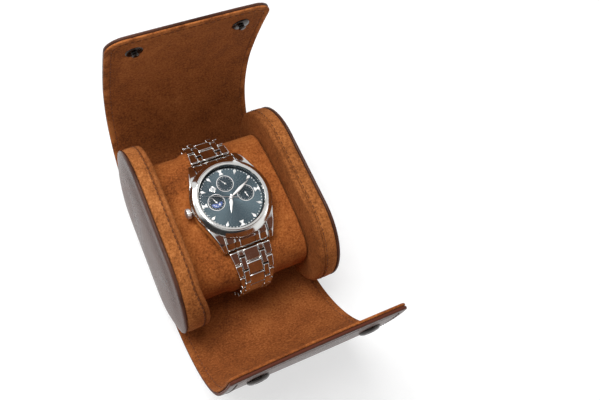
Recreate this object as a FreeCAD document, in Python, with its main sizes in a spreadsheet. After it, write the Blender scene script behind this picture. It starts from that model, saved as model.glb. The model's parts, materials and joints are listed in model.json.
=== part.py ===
"""Single-watch roll case: a lined leather sheet folds round two oval end caps, over a cushion with a watch.

Millimetres. The origin is on the surface that the case stands on, under the middle of its base.
+X runs along the case's axis to the right cap, +Y to the lid at the back, +Z up.
"""
import FreeCAD, Part
import math
import os
import Sketcher

# Driving dimensions: millimetres, degrees and counts
SIZES = {
    # End caps
    "cap_length": 99.5,
    "cap_height": 58.5,
    "cap_gap": 62.4,
    "cap_width": 10.0,
    "disc_thickness": 2.0,
    "disc_bevel": 1.0,
    "lip_width": 2.8,
    # Layers and clearances
    "leather": 1.6,
    "suede": 1.15,
    "glue_gap": 0.05,
    "seat_gap": 0.3,
    "fold_gap": 0.3,
    # Wrap: how each side bends at rest, and how far each fold turns to close
    "wrap_clearance": 1.8,
    "lid_lift": 2.7,
    "span_0": 20.0,
    "span_1": 50.0,
    "span_2": 50.0,
    "span_3": 45.0,
    "span_4": 15.0,
    "lid_bend_0": 9.0,
    "lid_bend_1": 38.0,
    "lid_bend_2": 31.0,
    "lid_bend_3": 16.5,
    "lid_bend_4": 8.0,
    "lid_turn_1": 19.0,
    "lid_turn_2": 20.5,
    "lid_turn_3": 19.5,
    "lid_turn_4": 20.0,
    "lid_top": 36.6,
    "lid_corner": 9.0,
    "flap_bend_0": 3.0,
    "flap_bend_1": 29.0,
    "flap_bend_2": 28.0,
    "flap_bend_3": 27.0,
    "flap_bend_4": 9.0,
    "flap_turn_1": 27.0,
    "flap_turn_2": 21.5,
    "flap_turn_3": 19.5,
    "flap_turn_4": 20.0,
    "flap_top": 30.3,
    "flap_corner": 3.0,
    # Snap fasteners
    "snap_spacing": 54.0,
    "socket_setback": 15.5,
    "socket_radius": 5.2,
    "socket_height": 2.0,
    "socket_floor": 0.2,
    "socket_bore": 2.4,
    "stud_flange_radius": 4.4,
    "stud_flange": 0.7,
    "stud_head_radius": 1.8,
    "stud_height": 2.6,
    # Cushion
    "cushion_setback": 11.25,
    "clasp_room": 5.8,
    "head_room": 13.3,
    "cushion_crown": 150.0,
    "side_radius": 90.0,
    "corner_radius": 14.0,
    "padding": 9.0,
    # Watch head
    "case_radius": 21.0,
    "case_bore": 17.3,
    "case_bottom": 1.2,
    "case_top": 7.4,
    "lug_gap": 22.0,
    "lug_width": 2.1,
    "lug_reach": 24.6,
    "lug_drop": 0.6,
    "lug_tip_height": 1.2,
    "lug_knee": 1.8,
    "lug_knee_height": 3.6,
    "lug_shoulder": 6.7,
    "lug_shoulder_drop": 0.8,
    "lug_heel": 3.0,
    "lug_heel_drop": 0.2,
    "bezel_radius": 20.6,
    "bezel_flat": 1.5,
    "bezel_top": 9.7,
    "crystal_radius": 16.5,
    "crystal_bottom": 8.1,
    "crystal_top": 9.9,
    "dial_bottom": 6.2,
    "dial_top": 6.6,
    "chapter_bore": 15.9,
    "movement_radius": 14.5,
    "movement_top": 6.1,
    "back_radius": 18.4,
    "subdial_offset": 7.9,
    "subdial_radius": 4.4,
    "subdial_ring": 0.3,
    "marker_circle": 14.2,
    "marker_height": 0.3,
    "arbor_radius": 0.45,
    "small_arbor_radius": 0.25,
    "running_gap": 0.05,
    "hand_thickness": 0.14,
    "small_hand_level": 6.82,
    "hour_hand_level": 7.06,
    "minute_hand_level": 7.36,
    "second_hand_level": 7.66,
    "hour_hand_length": 8.4,
    "minute_hand_length": 13.4,
    "second_hand_length": 13.7,
    "small_hand_length": 3.3,
    "hour_angle": 22.0,
    "minute_angle": 244.0,
    "second_angle": 111.0,
    "day_night_angle": 155.0,
    "date_angle": 146.0,
    "weekday_angle": 347.0,
    "date_window": 2.3,
    "date_circle": 9.9,
    "stem_radius": 0.5,
    "stem_level": 4.0,
    "crown_start": 21.35,
    "crown_radius": 2.65,
    "crown_length": 2.8,
    "crown_flutes": 18,
    "crown_flute_depth": 0.25,
    "crown_bore_depth": 1.6,
    # Bracelet
    "bracelet_width": 21.7,
    "clasp_width": 16.8,
    "taper_rows": 3,
    "centre_link_width": 7.6,
    "narrow_link_width": 2.7,
    "column_gap": 0.15,
    "link_thickness": 3.0,
    "link_bevel": 0.4,
    "link_relief": 0.9,
    "link_gap": 0.8,
    "row_gap": 0.55,
    "rows_per_side": 9,
    "bracelet_start": 24.9,
    "pin_radius": 0.4,
    "spring_bar_radius": 0.75,
    "spring_bar_reach": 22.5,
    "spring_bar_level": 0.9,
    "spring_bar_recess": 0.8,
    "end_link_root": 3.0,
    "end_link_root_top": 6.2,
    "end_link_root_bottom": 2.0,
    "end_link_throat": 0.6,
    "end_link_throat_top": 4.4,
    "end_link_throat_bottom": 0.4,
    "end_link_nose": 2.0,
    "end_link_nose_level": 0.6,
    "end_link_brow": 1.5,
    "end_link_brow_level": 1.8,
    "end_link_heel": 1.2,
    "end_link_heel_level": 1.5,
    "clasp_length": 46.0,
    "clasp_plate": 1.1,
    "clasp_wall": 2.2,
    "clasp_bevel": 0.5,
    "blade_thickness": 0.7,
    "blade_width": 9.0,
    "blade_setback": 2.0,
}

STRIPS = 5
X_AXIS = FreeCAD.Vector(1, 0, 0)
Y_AXIS = FreeCAD.Vector(0, 1, 0)
Z_AXIS = FreeCAD.Vector(0, 0, 1)
HALF_TURN = FreeCAD.Rotation(Z_AXIS, 180)

# Sizes that follow from the driving dimensions, as formulas on the sheet
WRAP = "(sizes.leather + sizes.glue_gap + sizes.suede)"
WRAP_WIDTH = "(sizes.cap_gap + 2 * sizes.cap_width)"
BASE_HALF = "((sizes.cap_length - sizes.cap_height) / 2)"
CAP_MIDDLE = f"({WRAP} + sizes.cap_height / 2)"
CLOSED_RADIUS = {
    "flap": "((sizes.cap_height + sizes.wrap_clearance) / 2)",
    "lid": "((sizes.cap_height + sizes.wrap_clearance) / 2 + sizes.lid_lift)",
}
CUSHION_LENGTH = "(sizes.cap_gap - 2 * sizes.seat_gap)"
CUSHION_DEPTH = "(sizes.cap_length - 2 * sizes.cushion_setback)"
CUSHION_BOTTOM = f"({WRAP} + sizes.clasp_room)"
CUSHION_TOP = f"({WRAP} + sizes.cap_height - sizes.head_room)"
WATCH_BASE = f"({CUSHION_TOP} + sizes.seat_gap)"
LUG_OUTER = "(sizes.lug_gap / 2 + sizes.lug_width)"

doc = FreeCAD.newDocument("watch_roll_case")
sheet = doc.addObject("Spreadsheet::Sheet", "sizes")
for row, (alias, size) in enumerate(SIZES.items(), start=1):
    sheet.set(f"A{row}", alias)
    sheet.set(f"B{row}", str(size))
    sheet.setAlias(f"B{row}", alias)
doc.recompute()

nodes = []


def calculate(formula):
    """Value of a formula on the sheet."""
    return float(sheet.evalExpression(formula))


def number(alias):
    """Value of one driving dimension."""
    return calculate(f"sizes.{alias}")


def add_node(piece, label, placement=None):
    """Name a finished sub-part and put it in its place."""
    piece.Label = label
    if placement is not None:
        piece.Placement = placement
    nodes.append(piece)
    return piece


def add_shape(label, shape, placement=None):
    """Sub-part whose solids are worked out here rather than by a feature."""
    piece = doc.addObject("Part::Feature", label)
    piece.Shape = shape
    return add_node(piece, label, placement or FreeCAD.Placement())


# Building blocks


def origin_plane(body, role):
    """One of a body's own origin planes."""
    return next(plane for plane in body.Origin.OriginFeatures if plane.Role == role)


def attached_sketch(body, name, role, offset=None):
    """Empty sketch on an origin plane, moved along the plane's normal by a formula."""
    sketch = body.newObject("Sketcher::SketchObject", name)
    sketch.AttachmentSupport = (origin_plane(body, role), [""])
    sketch.MapMode = "FlatFace"
    if offset is not None:
        sketch.setExpression("AttachmentOffset.Base.z", offset)
    return sketch


def bound(sketch, constraint, formula):
    """Add a dimension to a sketch and tie it to the sheet."""
    index = sketch.addConstraint(Sketcher.Constraint(*constraint, calculate(formula)))
    sketch.setExpression(f"Constraints[{index}]", formula)


def polygon_sketch(body, name, role, corners, offset=None):
    """Closed outline of straight edges, each corner given by two formulas."""
    sketch = attached_sketch(body, name, role, offset)
    points = [FreeCAD.Vector(calculate(u), calculate(v), 0) for u, v in corners]
    count = len(points)
    for index, start in enumerate(points):
        sketch.addGeometry(Part.LineSegment(start, points[(index + 1) % count]))
    for index in range(count):
        sketch.addConstraint(Sketcher.Constraint("Coincident", index, 2, (index + 1) % count, 1))
    for index, (u, v) in enumerate(corners):
        bound(sketch, ("DistanceX", -1, 1, index, 1), u)
        bound(sketch, ("DistanceY", -1, 1, index, 1), v)
    return sketch


def stadium_sketch(body, name, inset, offset=None):
    """Oval of the end caps, drawn in from their outline by a formula."""
    sketch = attached_sketch(body, name, "YZ_Plane", offset)
    radius_formula = f"sizes.cap_height / 2 - ({inset})"
    radius = calculate(radius_formula)
    half = calculate(BASE_HALF)
    quarter = math.pi / 2
    corners = {place: FreeCAD.Vector(place[0] * half, place[1] * radius, 0)
               for place in ((-1, -1), (1, -1), (1, 1), (-1, 1))}
    right = Part.Circle(FreeCAD.Vector(half, 0, 0), Z_AXIS, radius)
    left = Part.Circle(FreeCAD.Vector(-half, 0, 0), Z_AXIS, radius)
    sketch.addGeometry(Part.LineSegment(corners[-1, -1], corners[1, -1]))
    sketch.addGeometry(Part.ArcOfCircle(right, -quarter, quarter))
    sketch.addGeometry(Part.LineSegment(corners[1, 1], corners[-1, 1]))
    sketch.addGeometry(Part.ArcOfCircle(left, quarter, 3 * quarter))
    for index in range(4):
        sketch.addConstraint(Sketcher.Constraint("Tangent", index, 2, (index + 1) % 4, 1))
    for arc, side in ((1, ""), (3, "-")):
        bound(sketch, ("DistanceX", -1, 1, arc, 3), f"{side}{BASE_HALF}")
        bound(sketch, ("DistanceY", -1, 1, arc, 3), "0")
        bound(sketch, ("Radius", arc), radius_formula)
    return sketch


def pad(body, sketch, length, symmetric=False):
    """Raise a sketch along its normal."""
    feature = body.newObject("PartDesign::Pad", sketch.Name + "_pad")
    feature.Profile = sketch
    feature.setExpression("Length", length)
    if symmetric:
        feature.SideType = "Symmetric"
    return feature


def pocket(body, sketch, depth):
    """Sink a sketch against its normal."""
    feature = body.newObject("PartDesign::Pocket", sketch.Name + "_pocket")
    feature.Profile = sketch
    feature.setExpression("Length", depth)
    return feature


def revolved(name, corners):
    """Body turned about Z from corners given as radius and height."""
    body = doc.addObject("PartDesign::Body", name)
    sketch = polygon_sketch(body, name + "_outline", "XZ_Plane", corners)
    feature = body.newObject("PartDesign::Revolution", name + "_turn")
    feature.Profile = sketch
    feature.ReferenceAxis = (sketch, ["V_Axis"])
    feature.Angle = 360
    return body


def cylinder(name, radius, height, base=(0, 0, 0), axis=Z_AXIS):
    """Round bar with formulas for its radius and height."""
    bar = doc.addObject("Part::Cylinder", name)
    bar.setExpression("Radius", radius)
    bar.setExpression("Height", height)
    bar.Placement = FreeCAD.Placement(FreeCAD.Vector(*base), FreeCAD.Rotation(Z_AXIS, axis))
    return bar


def prism(name, sides, circumradius, height, base=(0, 0, 0), axis=Z_AXIS):
    """Bar with flat sides, with formulas for its radius over the corners and its height."""
    bar = doc.addObject("Part::Prism", name)
    bar.Polygon = sides
    bar.setExpression("Circumradius", circumradius)
    bar.setExpression("Height", height)
    bar.Placement = FreeCAD.Placement(FreeCAD.Vector(*base), FreeCAD.Rotation(Z_AXIS, axis))
    return bar


def cut(name, base, tool):
    """Base with the tool taken out of it."""
    result = doc.addObject("Part::Cut", name)
    result.Base = base
    result.Tool = tool
    return result


def fuse(name, pieces):
    """Several overlapping pieces as one solid."""
    result = doc.addObject("Part::MultiFuse", name)
    result.Shapes = pieces
    return result


def group(name, pieces):
    """Separate solids that share one node."""
    result = doc.addObject("Part::Compound", name)
    result.Links = pieces
    return result


def mirrored(name, source, normal):
    """Copy on the other side of a plane through the origin."""
    copy = doc.addObject("Part::Mirroring", name)
    copy.Source = source
    copy.Normal = normal
    return copy


def slab(outline, height):
    """Flat solid raised along Z from (x, y) corners."""
    points = [FreeCAD.Vector(x, y, 0) for x, y in outline]
    return Part.Face(Part.makePolygon(points + points[:1])).extrude(FreeCAD.Vector(0, 0, height))


# End caps


def cap_pieces(side, placement):
    """Leather disc, stiff core, suede band and suede inner face of one cap, built as the right-hand one."""
    inner = "(sizes.cap_gap / 2)"
    outer = "(sizes.cap_gap / 2 + sizes.cap_width)"
    skin = "(sizes.suede + sizes.glue_gap)"

    disc = doc.addObject("PartDesign::Body", f"{side}_end_disc")
    disc_pad = pad(disc, stadium_sketch(disc, f"{side}_disc_oval", "0", outer), "sizes.disc_thickness")
    doc.recompute()
    disc_face = calculate(f"{outer} + sizes.disc_thickness")
    bevel_edges(disc, disc_pad, disc_face, "sizes.disc_bevel")
    add_node(disc, f"{side}_end_disc", placement)

    core = doc.addObject("PartDesign::Body", f"{side}_end_core")
    core_oval = stadium_sketch(core, f"{side}_core_oval", skin, f"{inner} + {skin}")
    pad(core, core_oval, f"sizes.cap_width - {skin}")
    add_node(core, f"{side}_end_core", placement)

    band = doc.addObject("PartDesign::Body", f"{side}_end_band")
    band_width = "sizes.cap_width - sizes.lip_width - sizes.glue_gap"
    band_start = f"{inner} + sizes.lip_width + sizes.glue_gap"
    pad(band, stadium_sketch(band, f"{side}_band_oval", "0", band_start), band_width)
    pocket(band, stadium_sketch(band, f"{side}_band_inside", "sizes.suede", outer), band_width)
    add_node(band, f"{side}_end_band", placement)

    face = doc.addObject("PartDesign::Body", f"{side}_end_face")
    pad(face, stadium_sketch(face, f"{side}_face_oval", "0", inner), "sizes.lip_width")
    inside = stadium_sketch(face, f"{side}_face_inside", "sizes.suede", f"{inner} + sizes.lip_width")
    pocket(face, inside, "sizes.lip_width - sizes.suede")
    add_node(face, f"{side}_end_face", placement)


def bevel_edges(body, feature, level, size):
    """Bevel the outline edges that lie in the plane at x = level."""
    names = [f"Edge{index}" for index, edge in enumerate(feature.Shape.Edges, start=1)
             if abs(edge.BoundBox.XMin - level) < 0.001 and abs(edge.BoundBox.XMax - level) < 0.001]
    bevel = body.newObject("PartDesign::Chamfer", feature.Name + "_bevel")
    bevel.Base = (feature, names)
    bevel.setExpression("Size", size)


cap_height = FreeCAD.Vector(0, 0, calculate(CAP_MIDDLE))
cap_pieces("right", FreeCAD.Placement(cap_height, FreeCAD.Rotation()))
cap_pieces("left", FreeCAD.Placement(cap_height, HALF_TURN))


# Wrap: strips of two layers, each bent to one radius, hinged along their inner edges


def strip_length(side, index):
    """Length of a strip along its inner face, as a formula."""
    length = f"{CLOSED_RADIUS[side]} * sizes.span_{index} * pi / 180"
    if index == STRIPS - 1:
        length += f" + sizes.{side}_top"
    return f"({length})"


def strip_radius(side, index):
    """Radius of a strip's inner face, as a formula."""
    return f"({strip_length(side, index)} / (sizes.{side}_bend_{index} * pi / 180))"


def fold_chain(side, closing):
    """Bend centre, radius and headings of each strip along +Y, with folds closed by a share of their turn."""
    y = calculate(BASE_HALF)
    z = calculate(WRAP)
    heading = 0.0
    chain = []
    for index in range(STRIPS):
        if index:
            heading += closing * math.radians(number(f"{side}_turn_{index}"))
        radius = calculate(strip_radius(side, index))
        centre_y = y - radius * math.sin(heading)
        centre_z = z + radius * math.cos(heading)
        end = heading + math.radians(number(f"{side}_bend_{index}"))
        chain.append({"y": centre_y, "z": centre_z, "radius": radius, "start": heading, "end": end})
        heading = end
        y = centre_y + radius * math.sin(heading)
        z = centre_z - radius * math.cos(heading)
    return chain


def side_placement(side, y, z, heading, x=0.0):
    """Place something drawn for the lid: turned about X to a heading, with a half turn for the flap."""
    placed = FreeCAD.Placement(FreeCAD.Vector(x, y, z), FreeCAD.Rotation(X_AXIS, math.degrees(heading)))
    if side == "flap":
        placed = FreeCAD.Placement(FreeCAD.Vector(), HALF_TURN).multiply(placed)
    return placed


def bent_layer(name, side, index, inner, thickness):
    """One layer of one strip: a sector of a ring about the strip's bend axis, short by the fold gaps."""
    gaps = {0: 1, STRIPS - 1: 1}.get(index, 2)
    radius = strip_radius(side, index)
    gap_angle = f"(sizes.fold_gap / 2 / {radius} * 180 / pi)"
    outside = doc.addObject("Part::Cylinder", name + "_outside")
    outside.setExpression("Radius", f"{radius} + {inner} + {thickness}")
    outside.setExpression("Angle", f"sizes.{side}_bend_{index} - {gaps} * {gap_angle}")
    outside.setExpression("Height", WRAP_WIDTH)
    inside = cylinder(name + "_inside", f"{radius} + {inner}", WRAP_WIDTH)
    layer = cut(name, outside, inside)
    strip = fold_chain(side, 0)[index]
    start = strip["start"]
    if index:
        start += math.radians(calculate(gap_angle))
    sector = FreeCAD.Placement(FreeCAD.Vector(-calculate(WRAP_WIDTH) / 2, 0, 0), FreeCAD.Rotation(Y_AXIS, 90))
    layer.Placement = side_placement(side, strip["y"], strip["z"], start).multiply(sector)
    return layer


def rounded_end(name, layer, thickness, radius):
    """Round the two free corners, which are the highest edges as long as the layer is thick."""
    doc.recompute()
    edges = [(edge.CenterOfMass.z, index) for index, edge in enumerate(layer.Shape.Edges, start=1)
             if abs(edge.Length - thickness) < 0.001]
    corners = [index for height, index in sorted(edges)[-2:]]
    rounding = doc.addObject("Part::Fillet", name)
    rounding.Base = layer
    rounding.Edges = [(index, radius, radius) for index in corners]
    return rounding


def base_layer(name, bottom, inner, thickness):
    """Flat part of the wrap with the first, fixed bend of each side."""
    flat = doc.addObject("Part::Box", name + "_flat")
    flat.setExpression("Length", WRAP_WIDTH)
    flat.setExpression("Width", f"2 * {BASE_HALF}")
    flat.setExpression("Height", thickness)
    flat.Placement.Base = FreeCAD.Vector(-calculate(WRAP_WIDTH) / 2, -calculate(BASE_HALF), calculate(bottom))
    bends = [bent_layer(f"{name}_{side}", side, 0, inner, thickness) for side in ("lid", "flap")]
    add_node(fuse(name, [flat] + bends), name)


LINING = ("0", "sizes.suede")
LEATHER = ("(sizes.suede + sizes.glue_gap)", "sizes.leather")
base_layer("base_leather", "0", *LEATHER)
base_layer("base_lining", "sizes.leather + sizes.glue_gap", *LINING)
for side in ("lid", "flap"):
    for index in range(1, STRIPS):
        for material, layer in (("leather", LEATHER), ("lining", LINING)):
            label = f"{side}_{material}_{index}"
            piece = bent_layer(label + "_strip", side, index, *layer)
            if index == STRIPS - 1:
                piece = rounded_end(label, piece, calculate(layer[1]), number(f"{side}_corner"))
            add_node(piece, label)


# Snap fasteners: the stud is set where the socket comes when both sides are closed


def surface_point(strip, heading, height):
    """Point of a strip above its inner face, at a heading along its bend."""
    reach = strip["radius"] - height
    return strip["y"] + reach * math.sin(heading), strip["z"] - reach * math.cos(heading)


def snap_pair(name, snap, side, heading, height, turned):
    """Two fasteners on the last strip of a side, at equal distances from the middle."""
    strip = fold_chain(side, 0)[-1]
    y, z = surface_point(strip, heading, height)
    tilt = FreeCAD.Placement(FreeCAD.Vector(), FreeCAD.Rotation(X_AXIS, turned))
    snap.Placement = side_placement(side, y, z, heading, number("snap_spacing") / 2).multiply(tilt)
    add_node(group(name, [snap, mirrored(name + "_twin", snap, X_AXIS)]), name)


SNAP_SIDES = 24
socket_blank = prism("socket_blank", SNAP_SIDES, "sizes.socket_radius", "sizes.socket_height")
socket_bore = prism("socket_bore_tool", SNAP_SIDES, "sizes.socket_bore", "sizes.socket_height",
                    (0, 0, number("socket_floor")))
socket = cut("snap_socket", socket_blank, socket_bore)
stud_flange = prism("stud_flange_disc", SNAP_SIDES, "sizes.stud_flange_radius", "sizes.stud_flange")
stud_post = prism("stud_post", SNAP_SIDES, "sizes.stud_head_radius", "sizes.stud_height")
stud = fuse("snap_stud", [stud_flange, stud_post])
flap_end = fold_chain("flap", 1)[-1]
socket_arc = number("socket_setback") / flap_end["radius"]
socket_place = surface_point(flap_end, flap_end["end"] - socket_arc, 0)
lid_end = fold_chain("lid", 1)[-1]
stud_heading = math.pi - math.asin((-socket_place[0] - lid_end["y"]) / lid_end["radius"])
stud_arc = lid_end["end"] - stud_heading
snap_pair("snap_sockets", socket, "flap", fold_chain("flap", 0)[-1]["end"] - socket_arc,
          -calculate(WRAP) - number("glue_gap"), 180)
snap_pair("snap_studs", stud, "lid", fold_chain("lid", 0)[-1]["end"] - stud_arc, number("glue_gap"), 0)


# Cushion: a crowned block, drawn in towards its ends


def cushion_arcs(offset):
    """Eight tangent arcs of the cushion's section, grown by an offset: centre, radius, end angles."""
    half_depth = calculate(CUSHION_DEPTH) / 2
    half_height = calculate(f"({CUSHION_TOP} - {CUSHION_BOTTOM}) / 2")
    middle = calculate(f"({CUSHION_TOP} + {CUSHION_BOTTOM}) / 2")
    crown = number("cushion_crown")
    flank = number("side_radius")
    corner = number("corner_radius")
    crown_z = half_height - crown
    flank_y = half_depth - flank
    # The corner's centre is where circles about the crown's and the flank's centres meet
    apart = math.hypot(flank_y, crown_z)
    along = ((crown - corner) ** 2 - (flank - corner) ** 2 + apart ** 2) / (2 * apart)
    aside = math.sqrt((crown - corner) ** 2 - along ** 2)
    corner_y = (flank_y * along - crown_z * aside) / apart
    corner_z = crown_z - (crown_z * along + flank_y * aside) / apart
    steep = math.atan2(corner_z - crown_z, corner_y)
    low = math.atan2(corner_z, corner_y - flank_y)
    turn = math.pi
    arcs = [
        (flank_y, 0, flank, -low, low),
        (corner_y, corner_z, corner, low, steep),
        (0, crown_z, crown, steep, turn - steep),
        (-corner_y, corner_z, corner, turn - steep, turn - low),
        (-flank_y, 0, flank, turn - low, turn + low),
        (-corner_y, -corner_z, corner, turn + low, turn + steep),
        (0, -crown_z, crown, turn + steep, 2 * turn - steep),
        (corner_y, -corner_z, corner, 2 * turn - steep, 2 * turn - low),
    ]
    return [(y, middle + z, radius + offset, first, last) for y, z, radius, first, last in arcs]


def cushion_wire(x, offset):
    """Closed section of the cushion in a plane across the case."""
    edges = []
    for y, z, radius, first, last in cushion_arcs(offset):
        points = [FreeCAD.Vector(x, y + radius * math.cos(angle), z + radius * math.sin(angle))
                  for angle in (first, (first + last) / 2, last)]
        edges.append(Part.Arc(*points).toShape())
    return Part.Wire(edges)


half_cushion = calculate(CUSHION_LENGTH) / 2
# How far each section is drawn in, by its distance from the cushion's end
DRAWN_IN = ((0.0, 4.0), (1.6, 1.4), (7.0, 0.0))
sections = [cushion_wire(half_cushion - back, -inset) for back, inset in DRAWN_IN]
sections += [cushion_wire(back - half_cushion, -inset) for back, inset in reversed(DRAWN_IN)]
cushion_form = doc.addObject("Part::Feature", "cushion_form")
cushion_form.Shape = Part.makeLoft(sections, True, True)


def cushion_block(name, slack):
    """Firm block inside the cushion, with slack all round."""
    block = doc.addObject("Part::Box", name)
    block.setExpression("Length", f"{CUSHION_LENGTH} - 2 * sizes.padding + 2 * {slack}")
    block.setExpression("Width", f"{CUSHION_DEPTH} - 2 * sizes.padding + 2 * {slack}")
    block.setExpression("Height", f"{CUSHION_TOP} - {CUSHION_BOTTOM} - 2 * sizes.padding + 2 * {slack}")
    margin = number("padding") - calculate(slack)
    corner = FreeCAD.Vector(-half_cushion, -calculate(CUSHION_DEPTH) / 2, calculate(CUSHION_BOTTOM))
    block.Placement.Base = corner + FreeCAD.Vector(margin, margin, margin)
    return block


cover = cut("cushion_cover", cushion_form, cushion_block("cushion_hollow", "sizes.glue_gap"))
add_node(cover, "cushion_cover")
add_node(cushion_block("cushion_core", "0"), "cushion_core")


# Watch head, drawn with 12 o'clock along +Y and the crown along +X, then turned to face the front

watch_place = FreeCAD.Placement(FreeCAD.Vector(0, 0, calculate(WATCH_BASE)), HALF_TURN)


def lifted(level):
    """Upright place at one of the watch's own levels."""
    return FreeCAD.Placement(FreeCAD.Vector(0, 0, number(level)), FreeCAD.Rotation())


# Sides of covered round pieces and of small bores, which are drawn as regular polygons
ROUND_SIDES = 48
BORE_SIDES = 8
# Share of a bore's radius over the corners that its flats have
FLATS = f"cos(180 / {BORE_SIDES})"


def many_sided(radius, sides):
    """Corners of a regular polygon, which stands in for a circle too small to matter."""
    angles = [2 * math.pi * (corner + 0.5) / sides for corner in range(sides)]
    return [(radius * math.cos(angle), radius * math.sin(angle)) for angle in angles]


barrel = cylinder("case_barrel", "sizes.case_radius", "sizes.case_top - sizes.case_bottom",
                  (0, 0, number("case_bottom")))

# A lug is what its side outline and its plan have in common: the plan's outer edge runs on from the round
# case as a tangent, from the heading where the two meet to the lug's tip
TANGENT_HEADING = (f"(atan2(sizes.lug_reach; {LUG_OUTER})"
                   f" - acos(sizes.case_radius / hypot({LUG_OUTER}; sizes.lug_reach)))")
LUG_ROOT_X = f"(sizes.case_radius * cos({TANGENT_HEADING}))"
LUG_ROOT_Y = f"(sizes.case_radius * sin({TANGENT_HEADING}))"
lug_side = doc.addObject("PartDesign::Body", "lug_side")
lug_side_outline = polygon_sketch(lug_side, "lug_side_outline", "YZ_Plane", [
    (LUG_ROOT_Y, "sizes.case_bottom"),
    ("sizes.lug_reach - sizes.lug_shoulder", "sizes.case_bottom"),
    ("sizes.lug_reach - sizes.lug_heel", "-sizes.lug_heel_drop"),
    ("sizes.lug_reach - sizes.lug_drop", "-sizes.lug_drop"),
    ("sizes.lug_reach", "sizes.lug_tip_height"),
    ("sizes.lug_reach - sizes.lug_knee", "sizes.lug_knee_height"),
    ("sizes.lug_reach - sizes.lug_shoulder", "sizes.case_top - sizes.lug_shoulder_drop"),
    (LUG_ROOT_Y, "sizes.case_top"),
], "sizes.lug_gap / 2")
pad(lug_side, lug_side_outline, "sizes.case_radius - sizes.lug_gap / 2")
lug_plan = doc.addObject("PartDesign::Body", "lug_plan")
lug_plan_outline = polygon_sketch(lug_plan, "lug_plan_outline", "XY_Plane", [
    ("sizes.lug_gap / 2", LUG_ROOT_Y),
    (LUG_ROOT_X, LUG_ROOT_Y),
    (LUG_OUTER, "sizes.lug_reach"),
    ("sizes.lug_gap / 2", "sizes.lug_reach"),
], "-sizes.lug_drop")
pad(lug_plan, lug_plan_outline, "sizes.lug_drop + sizes.case_top")
lug = doc.addObject("Part::Common", "lug")
lug.Base = lug_side
lug.Tool = lug_plan
lug_pair = group("lug_pair", [lug, mirrored("lug_across", lug, X_AXIS)])
lugs = [lug_pair, mirrored("lug_pair_below", lug_pair, Y_AXIS)]
case_block = fuse("case_block", [barrel] + lugs)


def spring_bars(name, circumradius, length):
    """Bars across both pairs of lugs."""
    bars = []
    for end, sign in (("above", 1), ("below", -1)):
        place = (-calculate(length) / 2, sign * number("spring_bar_reach"), number("spring_bar_level"))
        bars.append(prism(f"{name}_{end}", BORE_SIDES, circumradius, length, place, X_AXIS))
    return group(name, bars)


BAR_BORE = f"(sizes.spring_bar_radius + sizes.running_gap) / {FLATS}"
STEM_BORE = f"(sizes.stem_radius + sizes.running_gap) / {FLATS}"
STEM_START = "(sizes.movement_radius + sizes.seat_gap)"
stem_place = (calculate(STEM_START), 0, number("stem_level"))
case_bore = prism("case_bore_tool", ROUND_SIDES, "sizes.case_bore", "sizes.case_top")
case_stem_bore = prism("case_stem_bore", BORE_SIDES, STEM_BORE, "sizes.case_radius", stem_place, X_AXIS)
lug_bores = spring_bars("lug_bores", BAR_BORE, f"2 * {LUG_OUTER}")
case_tools = fuse("case_tools", [case_bore, case_stem_bore, lug_bores])
add_node(cut("watch_case", case_block, case_tools), "watch_case", watch_place)

add_node(prism("watch_case_back", ROUND_SIDES, "sizes.back_radius", "sizes.case_bottom - sizes.running_gap"),
         "watch_case_back", watch_place)

BEZEL_BORE = "(sizes.crystal_radius + sizes.running_gap)"
add_node(revolved("watch_bezel", [
    (BEZEL_BORE, "sizes.case_top"),
    ("sizes.bezel_radius", "sizes.case_top"),
    (f"{BEZEL_BORE} + sizes.bezel_flat", "sizes.bezel_top"),
    (BEZEL_BORE, "sizes.bezel_top"),
]), "watch_bezel", watch_place)
CRYSTAL_HEIGHT = "sizes.crystal_top - sizes.crystal_bottom"
add_node(prism("watch_crystal", ROUND_SIDES, "sizes.crystal_radius", CRYSTAL_HEIGHT), "watch_crystal",
         watch_place.multiply(lifted("crystal_bottom")))
DIAL_RADIUS = "(sizes.case_bore - 2 * sizes.running_gap)"
ring_height = "sizes.case_top - sizes.running_gap - sizes.dial_top"
ring_outside = prism("chapter_outside", ROUND_SIDES, DIAL_RADIUS, ring_height)
ring_inside = prism("chapter_inside", ROUND_SIDES, "sizes.chapter_bore", ring_height)
add_node(cut("watch_chapter_ring", ring_outside, ring_inside), "watch_chapter_ring",
         watch_place.multiply(lifted("dial_top")))

# Subdials at 3, 6 and 9 o'clock: the node of the hand, its place and the hand's rest angle
SUBDIALS = {
    "watch_day_night_hand": ((1, 0), "day_night_angle"),
    "watch_date_hand": ((0, -1), "date_angle"),
    "watch_weekday_hand": ((-1, 0), "weekday_angle"),
}
subdial_places = {}
for hand, (direction, _) in SUBDIALS.items():
    subdial_places[hand] = tuple(number("subdial_offset") * part for part in direction)

dial_plate = prism("dial_plate", ROUND_SIDES, DIAL_RADIUS, "sizes.dial_top - sizes.dial_bottom",
                   (0, 0, number("dial_bottom")))
HAND_BORE = "sizes.arbor_radius + sizes.running_gap"
SMALL_BORE = "sizes.small_arbor_radius + sizes.running_gap"
dial_tools = [prism("dial_centre_bore", BORE_SIDES, f"({HAND_BORE}) / {FLATS}", "sizes.dial_top")]
window = doc.addObject("Part::Box", "date_opening")
for direction in ("Length", "Width"):
    window.setExpression(direction, "sizes.date_window")
window.setExpression("Height", "sizes.dial_top")
window_turn = FreeCAD.Placement(FreeCAD.Vector(), FreeCAD.Rotation(Z_AXIS, -45))
half_window = number("date_window") / 2
window.Placement = window_turn.multiply(FreeCAD.Placement(
    FreeCAD.Vector(number("date_circle") - half_window, -half_window, 0), FreeCAD.Rotation()))
dial_tools.append(window)
SMALL_BORE_CORNERS = f"({SMALL_BORE}) / {FLATS}"
for hand, (x, y) in subdial_places.items():
    dial_tools.append(prism(hand + "_bore", BORE_SIDES, SMALL_BORE_CORNERS, "sizes.dial_top", (x, y, 0)))
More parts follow.
